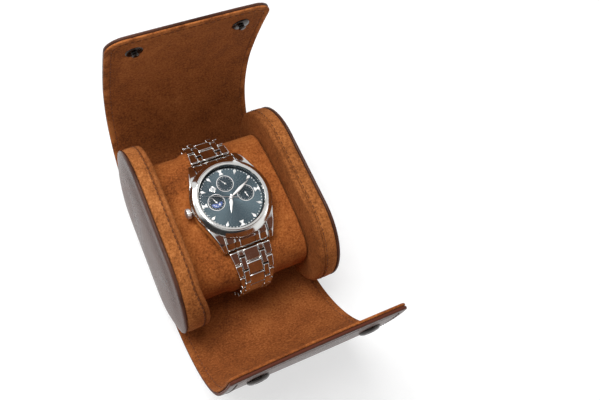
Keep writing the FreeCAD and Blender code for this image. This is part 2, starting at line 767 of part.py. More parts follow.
add_node(cut("watch_dial", dial_plate, fuse("dial_tools", dial_tools)), "watch_dial", watch_place)

RING_SIDES = 18
rings = []
for hand, (x, y) in subdial_places.items():
    seat = (x, y, number("dial_top"))
    outside = prism(hand + "_ring_out", RING_SIDES, "sizes.subdial_radius", "sizes.marker_height / 2", seat)
    inside = prism(hand + "_ring_in", RING_SIDES, "sizes.subdial_radius - sizes.subdial_ring",
                   "sizes.marker_height", seat)
    rings.append(cut(hand + "_ring", outside, inside))
add_node(group("watch_subdial_rings", rings), "watch_subdial_rings", watch_place)

BOW_TIE = ((-1.25, -1.4), (1.25, -1.4), (0.45, 0.0), (1.25, 1.4), (-1.25, 1.4), (-0.45, 0.0))
TEARDROP = ((0.0, -1.6), (0.8, 0.4), (0.55, 1.1), (0.0, 1.35), (-0.55, 1.1), (-0.8, 0.4))
HOURS = 12
markers = []
for hour in range(HOURS):
    marker = slab(BOW_TIE if hour % 3 == 0 else TEARDROP, number("marker_height"))
    marker.translate(FreeCAD.Vector(0, number("marker_circle"), number("dial_top")))
    marker.rotate(FreeCAD.Vector(), Z_AXIS, -hour * 360 / HOURS)
    markers.append(marker)
add_shape("watch_hour_markers", Part.makeCompound(markers), watch_place)


# Hands on the centre arbor: greatest width, where along the hand it lies, length of the tail, hub radius
LEAVES = {
    "hour": (1.7, 0.3, 1.6, 1.1),
    "minute": (1.6, 0.45, 1.8, 0.95),
    "second": (0.4, 0.3, 4.0, 0.8),
}
SMALL_LEAF = (0.45, 0.4, 0.9, 0.5)
HUB_SIDES = 10


def hand_shape(length, leaf, bore):
    """Leaf-shaped hand along +Y with a hub, bored for its arbor."""
    width, widest, tail, hub = leaf
    neck = width / 3
    outline = ((-neck / 2, -tail), (neck / 2, -tail), (neck / 2, 0.0), (width / 2, widest * length),
               (0.0, length), (-width / 2, widest * length), (-neck / 2, 0.0))
    thickness = number("hand_thickness")
    boss = slab(many_sided(hub, HUB_SIDES), thickness)
    hole = slab(many_sided(bore / math.cos(math.pi / BORE_SIDES), BORE_SIDES), thickness)
    return slab(outline, thickness).fuse(boss).removeSplitter().cut(hole)


def add_hand(label, shape, place, level, angle):
    """Set a hand on its arbor, clockwise from 12."""
    rotation = FreeCAD.Rotation(Z_AXIS, -number(angle))
    turned = FreeCAD.Placement(FreeCAD.Vector(*place, number(level)), rotation)
    add_shape(label, shape, watch_place.multiply(turned))


for name, leaf in LEAVES.items():
    shape = hand_shape(number(f"{name}_hand_length"), leaf, calculate(HAND_BORE))
    add_hand(f"watch_{name}_hand", shape, (0.0, 0.0), f"{name}_hand_level", f"{name}_angle")
for hand, (_, angle) in SUBDIALS.items():
    shape = hand_shape(number("small_hand_length"), SMALL_LEAF, calculate(SMALL_BORE))
    add_hand(hand, shape, subdial_places[hand], "small_hand_level", angle)

arbor_seat = number("movement_top")
CENTRE_ARBOR_HEIGHT = "sizes.second_hand_level + sizes.hand_thickness - sizes.movement_top"
SMALL_ARBOR_HEIGHT = "sizes.small_hand_level + sizes.hand_thickness - sizes.movement_top"
arbors = [cylinder("centre_arbor", "sizes.arbor_radius", CENTRE_ARBOR_HEIGHT, (0, 0, arbor_seat))]
for hand, (x, y) in subdial_places.items():
    seat = (x, y, arbor_seat)
    arbors.append(cylinder(hand + "_arbor", "sizes.small_arbor_radius", SMALL_ARBOR_HEIGHT, seat))
add_node(group("watch_hand_arbors", arbors), "watch_hand_arbors", watch_place)

MOVEMENT_HEIGHT = "sizes.movement_top - sizes.case_bottom"
add_node(prism("watch_movement", 24, "sizes.movement_radius", MOVEMENT_HEIGHT), "watch_movement",
         watch_place.multiply(lifted("case_bottom")))

STEM_LENGTH = f"(sizes.crown_start + sizes.crown_bore_depth - sizes.running_gap - {STEM_START})"
stem = cylinder("watch_stem", "sizes.stem_radius", STEM_LENGTH, stem_place, X_AXIS)
add_node(stem, "watch_stem", watch_place.multiply(stem.Placement))


def fluted(radius, depth, flutes):
    """Corners of a toothed outline, in turn on the rim and in a flute."""
    corners = []
    for step in range(2 * flutes):
        reach = radius - depth * (step % 2)
        angle = math.pi * step / flutes
        corners.append((reach * math.cos(angle), reach * math.sin(angle)))
    return corners


crown_outline = fluted(number("crown_radius"), number("crown_flute_depth"), int(number("crown_flutes")))
crown_bore = slab(many_sided(calculate(STEM_BORE), BORE_SIDES), number("crown_bore_depth"))
crown_place = FreeCAD.Placement(FreeCAD.Vector(number("crown_start"), 0, number("stem_level")),
                                FreeCAD.Rotation(Z_AXIS, X_AXIS))
crown = slab(crown_outline, number("crown_length")).cut(crown_bore)
add_shape("watch_crown", crown, watch_place.multiply(crown_place))


# Bracelet: rows of outer and centre links on pins, bridged by narrow links, round the cushion


def bracelet_path():
    """Arcs of the links' middle line from the top of the cushion, over the back, to its bottom."""
    middle = calculate("sizes.link_gap + sizes.link_thickness / 2")
    flank, upper, crown, _, _, _, base, lower = cushion_arcs(middle)
    turn = 2 * math.pi
    return [
        (*crown[:3], math.pi / 2, crown[3]),
        (*upper[:3], upper[4], upper[3]),
        (*flank[:3], flank[4], flank[3]),
        (*lower[:3], lower[4] - turn, lower[3] - turn),
        (*base[:3], base[4] - turn, -math.pi / 2),
    ]


PATH = bracelet_path()
HALF_LOOP = sum(radius * (first - last) for y, z, radius, first, last in PATH)


def path_station(distance):
    """Point on the path and the angle of its outward normal, at a distance from the top."""
    for y, z, radius, first, last in PATH:
        span = radius * (first - last)
        if distance <= span:
            break
        distance -= span
    angle = first - distance / radius
    return FreeCAD.Vector(0, y + radius * math.cos(angle), z + radius * math.sin(angle)), angle


def tangent_place(distance):
    """Frame with Y along the path and Z outwards, at a station."""
    point, angle = path_station(distance)
    return FreeCAD.Placement(point, FreeCAD.Rotation(X_AXIS, math.degrees(angle) - 90))


def chord_place(start, end):
    """The same, midway on the straight line between two stations."""
    first = path_station(start)[0]
    last = path_station(end)[0]
    along = last - first
    slope = math.degrees(math.atan2(along.z, along.y))
    return FreeCAD.Placement((first + last) / 2, FreeCAD.Rotation(X_AXIS, slope))


PIN_SIDES = 6


def link_profile(length, thickness, notched):
    """Side outline of a link, along and across the path, with seats for the pins at its ends."""
    end = length / 2
    top = thickness / 2
    under = number("link_relief")
    bevel = number("link_bevel")
    notch = number("pin_radius") + number("running_gap")
    half = [(end - under, -top), (end, under - top)]
    if notched:
        half += [(end - notch, 0), (end, top - bevel), (end - bevel, top)]
    else:
        half += [(end, top)]
    return half + [(-along, across) for along, across in reversed(half)]


def link(profile, x_start, x_end, placement, bore=None):
    """Bar across part of the bracelet's width, with an optional pin bore through its middle."""
    outlines = [profile] if bore is None else [profile, bore]
    wires = []
    for outline in outlines:
        points = [FreeCAD.Vector(x_start, along, across) for along, across in outline]
        wires.append(Part.makePolygon(points + points[:1]))
    face = Part.Face(wires[0])
    if bore:
        face = face.cut(Part.Face(wires[1]))
    solid = face.extrude(FreeCAD.Vector(x_end - x_start, 0, 0)).Solids[0]
    solid.Placement = placement
    return solid


def outer_link(profile, length, x_start, edges, side, placement):
    """Link at the bracelet's edge, whose outer side leans from one half width to the next."""
    thickness = number("link_thickness")
    bar = link(profile, side * x_start, side * max(edges), FreeCAD.Placement())
    first, last = edges
    plan = slab([(side * x_start, -length / 2), (side * first, -length / 2), (side * last, length / 2),
                 (side * x_start, length / 2)], thickness)
    plan.translate(FreeCAD.Vector(0, 0, -thickness / 2))
    solid = bar.common(plan).Solids[0]
    solid.Placement = placement
    return solid


def both_ways(solids):
    """The back half of the bracelet and its copy down the front."""
    copies = []
    for solid in solids:
        front = solid.copy()
        front.rotate(FreeCAD.Vector(), Z_AXIS, 180)
        copies += [solid, front]
    return Part.makeCompound(copies)


def half_width(row):
    """Half the bracelet's width where a row starts: it narrows over the first rows."""
    narrowing = min(row / number("taper_rows"), 1) * (number("bracelet_width") - number("clasp_width"))
    return (number("bracelet_width") - narrowing) / 2


def add_bracelet_rows():
    """Outer, centre and narrow links and their pins, as one node each."""
    rows = int(number("rows_per_side"))
    start = number("bracelet_start")
    pitch = (HALF_LOOP - start - number("clasp_length") / 2) / rows
    length = pitch - number("row_gap")
    thickness = number("link_thickness")
    profile = link_profile(length, thickness, True)
    bridge = link_profile(length, thickness, False)
    half_bridge = link_profile(length - pitch / 2, thickness, False)
    half_centre = number("centre_link_width") / 2
    narrow_start = half_centre + number("column_gap")
    narrow_end = narrow_start + number("narrow_link_width")
    outer_start = narrow_end + number("column_gap")
    pin_radius = number("pin_radius")
    pin_outline = many_sided(pin_radius, PIN_SIDES)
    pin_bore = many_sided((pin_radius + number("running_gap")) * math.sqrt(2), 4)
    outer_links = []
    centre_links = []
    narrow_links = []
    pins = []
    for row in range(rows):
        station = start + row * pitch
        place = chord_place(station, station + pitch)
        edges = (half_width(row), half_width(row + 1))
        centre_links.append(link(profile, -half_centre, half_centre, place))
        outer_links += [outer_link(profile, length, outer_start, edges, side, place) for side in (1, -1)]
        if row:
            bridge_place = tangent_place(station)
            narrow_links += [link(bridge, side * narrow_start, side * narrow_end, bridge_place, pin_bore)
                             for side in (1, -1)]
            reach = half_width(row) - pin_radius
            pins.append(link(pin_outline, -reach, reach, bridge_place))
    for station in (start + pitch / 4, start + rows * pitch - pitch / 4):
        place = tangent_place(station)
        narrow_links += [link(half_bridge, side * narrow_start, side * narrow_end, place) for side in (1, -1)]
    for label, solids in (("bracelet_outer_links", outer_links), ("bracelet_centre_links", centre_links),
                          ("bracelet_narrow_links", narrow_links), ("bracelet_link_pins", pins)):
        add_shape(label, both_ways(solids))


add_bracelet_rows()

end_link = doc.addObject("PartDesign::Body", "end_link")
end_outline = polygon_sketch(end_link, "end_link_outline", "YZ_Plane", [
    ("sizes.case_radius - sizes.end_link_root", "sizes.end_link_root_bottom"),
    ("sizes.case_radius + sizes.end_link_throat", "sizes.end_link_throat_bottom"),
    ("sizes.spring_bar_reach + sizes.end_link_heel", "-sizes.end_link_heel_level"),
    ("sizes.spring_bar_reach + sizes.end_link_nose", "-sizes.end_link_nose_level"),
    ("sizes.spring_bar_reach + sizes.end_link_brow", "sizes.end_link_brow_level"),
    ("sizes.case_radius + sizes.end_link_throat", "sizes.end_link_throat_top"),
    ("sizes.case_radius - sizes.end_link_root", "sizes.end_link_root_top"),
])
pad(end_link, end_outline, "sizes.lug_gap - 2 * sizes.column_gap", True)
end_links = group("end_link_pair", [end_link, mirrored("end_link_below", end_link, Y_AXIS)])
case_clear = cylinder("end_link_case_cut", "sizes.case_radius + 2 * sizes.running_gap", "sizes.bezel_top")
end_tools = fuse("end_link_tools", [case_clear, spring_bars("end_link_bores", BAR_BORE, "sizes.lug_gap")])
add_node(cut("bracelet_end_links", end_links, end_tools), "bracelet_end_links", watch_place)
BAR_LENGTH = f"2 * ({LUG_OUTER} - sizes.spring_bar_recess)"
add_node(spring_bars("bracelet_spring_bars", "sizes.spring_bar_radius", BAR_LENGTH), "bracelet_spring_bars",
         watch_place)

# Folding clasp under the cushion: a channel-shaped cover, with the folded blades above it
CLASP_BOTTOM = f"({WRAP} + sizes.seat_gap)"
clasp_cover = doc.addObject("PartDesign::Body", "clasp_cover")
half_clasp = "(sizes.clasp_width / 2)"
clasp_outline = polygon_sketch(clasp_cover, "clasp_outline", "XZ_Plane", [
    (f"-{half_clasp}", "sizes.clasp_bevel"),
    (f"sizes.clasp_bevel - {half_clasp}", "0"),
    (f"{half_clasp} - sizes.clasp_bevel", "0"),
    (half_clasp, "sizes.clasp_bevel"),
    (half_clasp, "sizes.clasp_plate + sizes.clasp_wall"),
    (f"{half_clasp} - sizes.clasp_plate", "sizes.clasp_plate + sizes.clasp_wall"),
    (f"{half_clasp} - sizes.clasp_plate", "sizes.clasp_plate"),
    (f"sizes.clasp_plate - {half_clasp}", "sizes.clasp_plate"),
    (f"sizes.clasp_plate - {half_clasp}", "sizes.clasp_plate + sizes.clasp_wall"),
    (f"-{half_clasp}", "sizes.clasp_plate + sizes.clasp_wall"),
])
pad(clasp_cover, clasp_outline, "sizes.clasp_length", True)
clasp_place = FreeCAD.Placement(FreeCAD.Vector(0, 0, calculate(CLASP_BOTTOM)), FreeCAD.Rotation())
add_node(clasp_cover, "clasp_cover", clasp_place)

BLADE_LEVELS = (
    "sizes.clasp_plate + sizes.seat_gap",
    "sizes.clasp_room - 3 * sizes.seat_gap - sizes.blade_thickness",
)
BLADE_LENGTH = "(sizes.clasp_length - 2 * sizes.blade_setback)"
half_blade = number("blade_width") / 2
blade_end = calculate(BLADE_LENGTH) / 2
blade_pieces = []
for name, level in zip(("lower_blade", "upper_blade"), BLADE_LEVELS):
    blade = doc.addObject("Part::Box", name)
    blade.setExpression("Length", "sizes.blade_width")
    blade.setExpression("Width", BLADE_LENGTH)
    blade.setExpression("Height", "sizes.blade_thickness")
    blade.Placement.Base = FreeCAD.Vector(-half_blade, -blade_end, calculate(level))
    blade_pieces.append(blade)
knuckle_rise = f"({BLADE_LEVELS[1]} + sizes.blade_thickness - ({BLADE_LEVELS[0]}))"
knuckle_level = calculate(f"{BLADE_LEVELS[0]} + {knuckle_rise} / 2")
knuckle_place = (-half_blade, blade_end, knuckle_level)
knuckle = cylinder("blade_knuckle", f"{knuckle_rise} / 2", "sizes.blade_width", knuckle_place, X_AXIS)
blade_pieces.append(knuckle)
add_node(fuse("clasp_blades", blade_pieces), "clasp_blades", clasp_place)


# Check and write

doc.recompute()
for piece in doc.Objects:
    if "Invalid" in piece.State or "Error" in piece.State:
        raise RuntimeError(f"{piece.Label} failed: {piece.State}")
os.makedirs("parts", exist_ok=True)
for piece in nodes:
    if piece.Shape.isNull() or not piece.Shape.isValid():
        raise RuntimeError(f"{piece.Label} has no valid shape")
for piece in nodes:
    piece.Shape.exportStep(f"parts/{piece.Label}.step")
print(len(nodes), "sub-parts written")
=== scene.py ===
import json
import math

import bmesh
import bpy
import numpy as np
from mathutils import Matrix, Vector
from mathutils import noise as field


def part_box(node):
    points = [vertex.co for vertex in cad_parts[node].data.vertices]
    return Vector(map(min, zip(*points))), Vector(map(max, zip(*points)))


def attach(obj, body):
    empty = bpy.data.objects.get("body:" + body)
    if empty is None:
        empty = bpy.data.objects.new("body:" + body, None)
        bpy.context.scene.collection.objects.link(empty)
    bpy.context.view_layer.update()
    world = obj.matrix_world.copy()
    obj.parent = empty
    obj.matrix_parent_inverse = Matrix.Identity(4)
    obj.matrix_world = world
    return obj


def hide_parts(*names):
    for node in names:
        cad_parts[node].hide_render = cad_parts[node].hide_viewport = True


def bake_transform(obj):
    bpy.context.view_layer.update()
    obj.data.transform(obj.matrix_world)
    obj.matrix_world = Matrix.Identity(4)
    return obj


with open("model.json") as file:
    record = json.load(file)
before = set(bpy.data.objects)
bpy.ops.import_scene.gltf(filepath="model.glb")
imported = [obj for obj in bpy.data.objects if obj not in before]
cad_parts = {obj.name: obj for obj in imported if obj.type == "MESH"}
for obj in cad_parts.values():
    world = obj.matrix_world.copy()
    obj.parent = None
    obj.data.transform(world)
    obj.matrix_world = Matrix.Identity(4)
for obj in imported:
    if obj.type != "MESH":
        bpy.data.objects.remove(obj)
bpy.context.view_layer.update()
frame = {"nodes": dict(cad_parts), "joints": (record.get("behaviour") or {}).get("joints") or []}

MM = 0.001


# Shader helpers

PATCHES = 0.55
NOISE_RANGE = (0.3, 0.7)


def socket(node, name):
    return next(s for s in node.inputs if s.name == name and s.enabled)


def math_node(tree, operation, *values):
    """An operation on numbers or outputs of other nodes."""
    node = tree.nodes.new("ShaderNodeMath")
    node.operation = operation
    for place, value in zip(node.inputs, values):
        if isinstance(value, (int, float)):
            place.default_value = value
        else:
            tree.links.new(value, place)
    return node.outputs["Value"]


def range_node(tree, value, low, high, to_low, to_high, kind="LINEAR"):
    """Maps a value's range onto another, held at its ends."""
    node = tree.nodes.new("ShaderNodeMapRange")
    node.interpolation_type = kind
    for place, number in zip(("From Min", "From Max", "To Min", "To Max"), (low, high, to_low, to_high)):
        node.inputs[place].default_value = number
    tree.links.new(value, node.inputs["Value"])
    return node.outputs["Result"]


def mix_node(tree, share, first, second):
    """A colour, or the output of a node, with a share of a second colour."""
    node = tree.nodes.new("ShaderNodeMix")
    node.data_type = "RGBA"
    tree.links.new(share, socket(node, "Factor"))
    if isinstance(first, tuple):
        socket(node, "A").default_value = (*first, 1.0)
    else:
        tree.links.new(first, socket(node, "A"))
    socket(node, "B").default_value = (*second, 1.0)
    return next(out for out in node.outputs if out.enabled)


def attribute(tree, name, output):
    """What the mesh carries at its points under a name."""
    node = tree.nodes.new("ShaderNodeAttribute")
    node.attribute_name = name
    return node.outputs[output]


class Paint:
    """A material's node tree, with short calls for the nodes that the finishes share."""

    def __init__(self, name, coordinates, **values):
        self.material = bpy.data.materials.new(name)
        self.material.use_nodes = True
        self.tree = self.material.node_tree
        self.shader = self.tree.nodes["Principled BSDF"]
        for key, value in values.items():
            socket(self.shader, key.replace("_", " ")).default_value = value
        if coordinates == "flat":
            self.where = attribute(self.tree, "flat", "Vector")
        else:
            self.where = self.tree.nodes.new("ShaderNodeTexCoord").outputs[coordinates]

    def link(self, source, target):
        self.tree.links.new(source, target)

    def set(self, name, value):
        self.link(value, socket(self.shader, name))

    def noise(self, size, detail=3.0, roughness=0.55, distortion=0.0, stretch=None):
        """Noise whose patches are about `size` metres across, from 0 to 1."""
        node = self.tree.nodes.new("ShaderNodeTexNoise")
        values = (PATCHES / size, detail, roughness, distortion)
        for place, value in zip(("Scale", "Detail", "Roughness", "Distortion"), values):
            node.inputs[place].default_value = value
        where = self.where
        if stretch:
            mapping = self.tree.nodes.new("ShaderNodeMapping")
            mapping.inputs["Scale"].default_value = stretch
            self.link(where, mapping.inputs["Vector"])
            where = mapping.outputs["Vector"]
        self.link(where, node.inputs["Vector"])
        return node.outputs["Fac"]

    def cells(self, size):
        """Distance from the edges of pebbles about `size` metres across."""
        node = self.tree.nodes.new("ShaderNodeTexVoronoi")
        node.feature = "DISTANCE_TO_EDGE"
        node.inputs["Scale"].default_value = 1 / size
        self.link(self.where, node.inputs["Vector"])
        return node.outputs["Distance"]

    def math(self, operation, *values):
        return math_node(self.tree, operation, *values)

    def spread(self, value, low, high, to_low=0.0, to_high=1.0):
        return range_node(self.tree, value, low, high, to_low, to_high)

    def ramp(self, value, *stops):
        node = self.tree.nodes.new("ShaderNodeValToRGB")
        while len(node.color_ramp.elements) < len(stops):
            node.color_ramp.elements.new(0.5)
        for element, (place, colour) in zip(node.color_ramp.elements, stops):
            element.position = place
            element.color = (*colour, 1.0)
        self.link(value, node.inputs["Fac"])
        return node.outputs["Color"]

    def bump(self, height, depth, strength):
        """Adds relief of a depth in metres to the shader's normal."""
        node = self.tree.nodes.new("ShaderNodeBump")
        node.inputs["Strength"].default_value = strength
        node.inputs["Distance"].default_value = depth
        self.link(height, node.inputs["Height"])
        before = socket(self.shader, "Normal")
        if before.is_linked:
            self.link(before.links[0].from_socket, node.inputs["Normal"])
        self.link(node.outputs["Normal"], before)

    def rough(self, noise, low, high):
        """Roughness between two values, after a noise."""
        self.set("Roughness", self.spread(noise, *NOISE_RANGE, low, high))

    def coat(self, noise, dark, light):
        """Colour between two shades, after a noise."""
        self.set("Base Color", self.ramp(noise, *zip(NOISE_RANGE, (dark, light))))

    def rim(self):
        """How near a point is to the cut edge of its sheet, from 0 to 1."""
        return attribute(self.tree, "rim", "Fac")


def srgb(red, green, blue):
    """A colour as the eye names it, from 0 to 255, as linear light."""
    def linear(value):
        value /= 255
        return value / 12.92 if value <= 0.04045 else ((value + 0.055) / 1.055) ** 2.4
    return tuple(linear(value) for value in (red, green, blue))


def suede(name, dark, middle, light, patch):
    """Napped leather: brushed patches, tufts, short fibres, a soft sheen and a paler fuzz along cut edges."""
    paint = Paint(name, "flat", Sheen_Weight=0.18, Sheen_Roughness=0.5, Specular_IOR_Level=0.1)
    socket(paint.shader, "Sheen Tint").default_value = (*srgb(215, 140, 84), 1)
    brushed = paint.noise(patch, 4, 0.6, 0.8, (1.0, 0.8, 1.0))
    worn = paint.noise(0.005, 3, 0.6, 0.4)
    tuft = paint.noise(0.001, 3, 0.65, 0.3)
    fibre = paint.noise(0.00055, 2, 0.7)
    tone = paint.math("MULTIPLY", brushed, 0.65)
    for noise, weight, depth, strength in ((worn, 0.3, 0.0006, 0.3), (tuft, 0.25, 0.00022, 0.5),
                                           (fibre, 0.8, 0.00016, 0.6)):
        tone = paint.math("MULTIPLY_ADD", noise, weight, tone)
        paint.bump(noise, depth, strength)
    fuzz = paint.math("MULTIPLY", paint.rim(), paint.spread(worn, 0.38, 0.62, 0.0, 0.34))
    tone = paint.spread(paint.math("ADD", tone, fuzz), 0.74, 1.26)
    paint.set("Base Color", paint.ramp(tone, (0.0, dark), (0.5, middle), (1.0, light)))
    paint.rough(worn, 0.84, 0.98)
    return paint.material


def leather(name, dark, light, edge):
    """Smooth calf: fine pebbled grain, soft mottling, a waxed sheen and painted cut edges."""
    paint = Paint(name, "flat", Specular_IOR_Level=0.12)
    mottle = paint.noise(0.016, 4, 0.6, 0.5)
    pores = paint.noise(0.0012, 3, 0.65)
    tone = paint.math("MULTIPLY_ADD", pores, 0.3, paint.math("MULTIPLY", mottle, 0.8))
    colour = paint.ramp(paint.spread(tone, 0.32, 0.78), (0.0, dark), (1.0, light))
    painted = paint.rim()
    paint.set("Base Color", mix_node(paint.tree, painted, colour, edge))
    waxed = paint.spread(mottle, *NOISE_RANGE, 0.22, 0.34)
    paint.set("Roughness", paint.math("MULTIPLY_ADD", painted, 0.3, waxed))
    paint.bump(paint.spread(paint.cells(0.0011), 0.0, 0.25), 0.00012, 0.35)
    paint.bump(pores, 0.00016, 0.4)
    return paint.material


def thread(name, dark, light):
    """Twisted sewing thread."""
    paint = Paint(name, "flat", Sheen_Weight=0.08, Specular_IOR_Level=0.15)
    twist = paint.noise(0.00035, 2, 0.5, 0.0, (1.0, 2.5, 1.0))
    paint.coat(twist, dark, light)
    paint.rough(twist, 0.6, 0.85)
    paint.bump(twist, 0.00012, 0.8)
    return paint.material


def metal(name, colour, rough):
    """Polished or brushed metal with faint wear."""
    paint = Paint(name, "Object", Metallic=1.0)
    wear = paint.noise(0.006, 4, 0.6)
    paint.coat(wear, tuple(0.86 * part for part in colour), colour)
    paint.rough(wear, *rough)
    paint.bump(paint.noise(0.0004, 2, 0.6, 0.0, (1.0, 0.12, 0.12)), 0.00002, 0.25)
    return paint.material


def flat_paint(name, dark, light):
    """Print, board and foam: a fine uneven coat."""
    paint = Paint(name, "Object", Specular_IOR_Level=0.3)
    grain = paint.noise(0.0006, 3, 0.6)
    paint.coat(grain, dark, light)
    paint.rough(grain, 0.45, 0.7)
    paint.bump(grain, 0.00003, 0.4)
    return paint.material


# How fast the painted sheen of the sunburst turns lighter and darker round the dial.
SUNBURST_SHEEN_RATE = 18.85


def dial_paint(name, dark, light):
    """Lacquered dial with a painted sunburst: its light and dark sectors are painted sheen."""
    paint = Paint(name, "Object", Specular_IOR_Level=0.15)
    turn = paint.tree.nodes.new("ShaderNodeTexGradient")
    turn.gradient_type = "RADIAL"
    paint.link(paint.where, turn.inputs["Vector"])
    # Painted sheen: the colour grows lighter and darker in three sectors round the middle.
    painted_sheen = paint.math("SINE", paint.math("MULTIPLY", turn.outputs["Fac"], SUNBURST_SHEEN_RATE))
    speck = paint.noise(0.0003, 2)
    tone = paint.math("MULTIPLY_ADD", speck, 0.4, paint.spread(painted_sheen, -1.0, 1.0, 0.0, 0.7))
    paint.set("Base Color", paint.ramp(tone, (0.1, dark), (0.9, light)))
    paint.rough(speck, 0.25, 0.38)
    paint.bump(speck, 0.00001, 0.3)
    return paint.material


def glass(name):
    """Clear crystal: what is behind it, with a coated reflection over it."""
    paint = Paint(name, "Object", Metallic=1.0)
    paint.rough(paint.noise(0.008, 3), 0.01, 0.05)
    clear = paint.tree.nodes.new("ShaderNodeBsdfTransparent")
    edge = paint.tree.nodes.new("ShaderNodeFresnel")
    edge.inputs["IOR"].default_value = 1.16
    mix = paint.tree.nodes.new("ShaderNodeMixShader")
    paint.link(edge.outputs["Fac"], mix.inputs["Fac"])
    paint.link(clear.outputs["BSDF"], mix.inputs[1])
    paint.link(paint.shader.outputs["BSDF"], mix.inputs[2])
    socket(paint.shader, "Base Color").default_value = (1, 1, 1, 1)
    paint.link(mix.outputs["Shader"], paint.tree.nodes["Material Output"].inputs["Surface"])
    return paint.material


finish = {
    "lining": suede("lining_suede", srgb(83, 42, 20), srgb(136, 75, 36), srgb(173, 104, 55), 0.03),
    "band": suede("band_suede", srgb(98, 53, 23), srgb(156, 93, 47), srgb(195, 127, 72), 0.018),
    # The inner faces take the band suede made about a tenth darker: painted shade for the shade that falls on them
    # beside the cushion.
    "face": suede("face_suede", srgb(88, 46, 20), srgb(140, 81, 40), srgb(176, 111, 62), 0.018),
    "cushion": suede("cushion_nap", srgb(98, 50, 21), srgb(154, 86, 40), srgb(188, 116, 60), 0.02),
    "leather": leather("brown_leather", srgb(56, 33, 25), srgb(92, 58, 45), srgb(84, 42, 29)),
    "thread_dark": thread("thread_brown", srgb(40, 24, 17), srgb(74, 48, 34)),
    "thread_seam": thread("thread_seam", srgb(78, 41, 19), srgb(114, 63, 30)),
    "thread_tan": thread("thread_tan", srgb(98, 52, 24), srgb(136, 76, 37)),
    "gunmetal": metal("gunmetal", srgb(66, 62, 60), (0.2, 0.34)),
    "steel": metal("polished_steel", srgb(226, 225, 222), (0.07, 0.16)),
    "silver": metal("silver_trim", srgb(232, 232, 230), (0.1, 0.2)),
    "satin": metal("satin_silver", srgb(240, 238, 236), (0.3, 0.42)),
    "frosted": metal("frosted_steel", srgb(246, 244, 243), (0.42, 0.55)),
    "brass": metal("movement_brass", srgb(196, 176, 120), (0.25, 0.4)),
    "flange": metal("flange_black", srgb(52, 60, 64), (0.25, 0.35)),
    "dial": dial_paint("dial_slate", srgb(58, 71, 78), srgb(88, 104, 111)),
    "subdial": dial_paint("subdial_black", srgb(34, 43, 48), srgb(54, 65, 72)),
    "moon_blue": flat_paint("moon_sky_blue", srgb(66, 84, 146), srgb(104, 124, 184)),
    "white_print": flat_paint("white_print", srgb(205, 208, 208), srgb(235, 236, 236)),
    "board": flat_paint("grey_board", srgb(120, 105, 88), srgb(150, 134, 112)),
    "foam": flat_paint("cushion_foam", srgb(190, 180, 150), srgb(215, 205, 176)),
    "glass": glass("watch_crystal_glass"),
}


# Mesh helpers


def add_mesh(name, vertices, faces, material, flat=None, rim=None):
    """A smooth mesh object whose texture coordinates are its own points, or `flat` where it is bent."""
    mesh = bpy.data.meshes.new(name)
    mesh.from_pydata([tuple(v) for v in vertices], [], [tuple(int(i) for i in f) for f in faces])
    mesh.update()
    where = mesh.attributes.new("flat", "FLOAT_VECTOR", "POINT")
    where.data.foreach_set("vector", np.asarray(vertices if flat is None else flat, np.float32).ravel())
    if rim is not None:
        mesh.attributes.new("rim", "FLOAT", "POINT").data.foreach_set("value", np.asarray(rim, np.float32).ravel())
    mesh.materials.append(material)
    piece = bpy.data.objects.new(name, mesh)
    bpy.context.scene.collection.objects.link(piece)
    work = bmesh.new()
    work.from_mesh(mesh)
    bmesh.ops.recalc_face_normals(work, faces=work.faces)
    work.to_mesh(mesh)
    work.free()
    mesh.shade_smooth()
    return piece


def smooth(value, low, high):
    """A soft step from 0 to 1."""
    t = np.clip((value - low) / (high - low), 0, 1)
    return t * t * (3 - 2 * t)


def grid_faces(rows, columns, first=0, loop=False):
    """Quads between neighbouring rows of points, numbered row by row."""
    faces = []
    last = columns if loop else columns - 1
    for row in range(rows - 1):
        for column in range(last):
            after = (column + 1) % columns
            a = first + row * columns
            faces.append((a + column, a + after, a + columns + after, a + columns + column))
    return faces


def tube_faces(rows, columns):
    """Quads between neighbouring rings of points, and a cap at each end."""
    last = (rows - 1) * columns
    return grid_faces(rows, columns, 0, True) + [tuple(range(columns)), tuple(range(last, last + columns))]


def lengths(path):
    """How far along a path each of its points is."""
    return np.concatenate([[0], np.cumsum(np.linalg.norm(np.diff(path, axis=0), axis=1))])


def along_path(stations, far, path):
    """Values of a path's points at distances along it."""
    return np.stack([np.interp(stations, far, path[:, k]) for k in range(path.shape[1])], -1)


def fixed(piece, body, slot, *nodes):
    """A piece that moves with one body and stands for CAD nodes."""
    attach(piece, body)
    if nodes:
        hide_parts(*nodes)
    return piece


def crisp(piece, angle):
    """Smooth shading that keeps sharp corners."""
    piece.data.set_sharp_from_angle(angle=math.radians(angle))


# Camera at the photograph's angle, floor and soft studio light

FLOOR_LEVEL, FLOOR_GLOW = -0.0002, 0.55
ROOM_LIGHT, FRONT_LIGHT, CEILING, STRIP = 0.32, 0.75, 0.8, 0.04
CARD_COLOUR = (0.16, 0.06, 0.035)
UP, TO_FRONT, TO_STRIP, TO_CARD = (0, 0, 1), (0, -0.906, 0.423), (-0.545, -0.839, 0), (0.288, -0.46, 0.84)
LAMPS = {  # place, aim, size, power
    "overhead": ((-0.23, 0.26, 0.84), (0, 0, 0.03), 0.6, 7.4),
    "left_panel": ((-0.69, 0.58, 0.3), (0, 0, 0.03), 0.5, 1.2),
    "right_panel": ((0.97, -0.26, 0.22), (0, 0, 0.05), 0.5, 0.8),
}


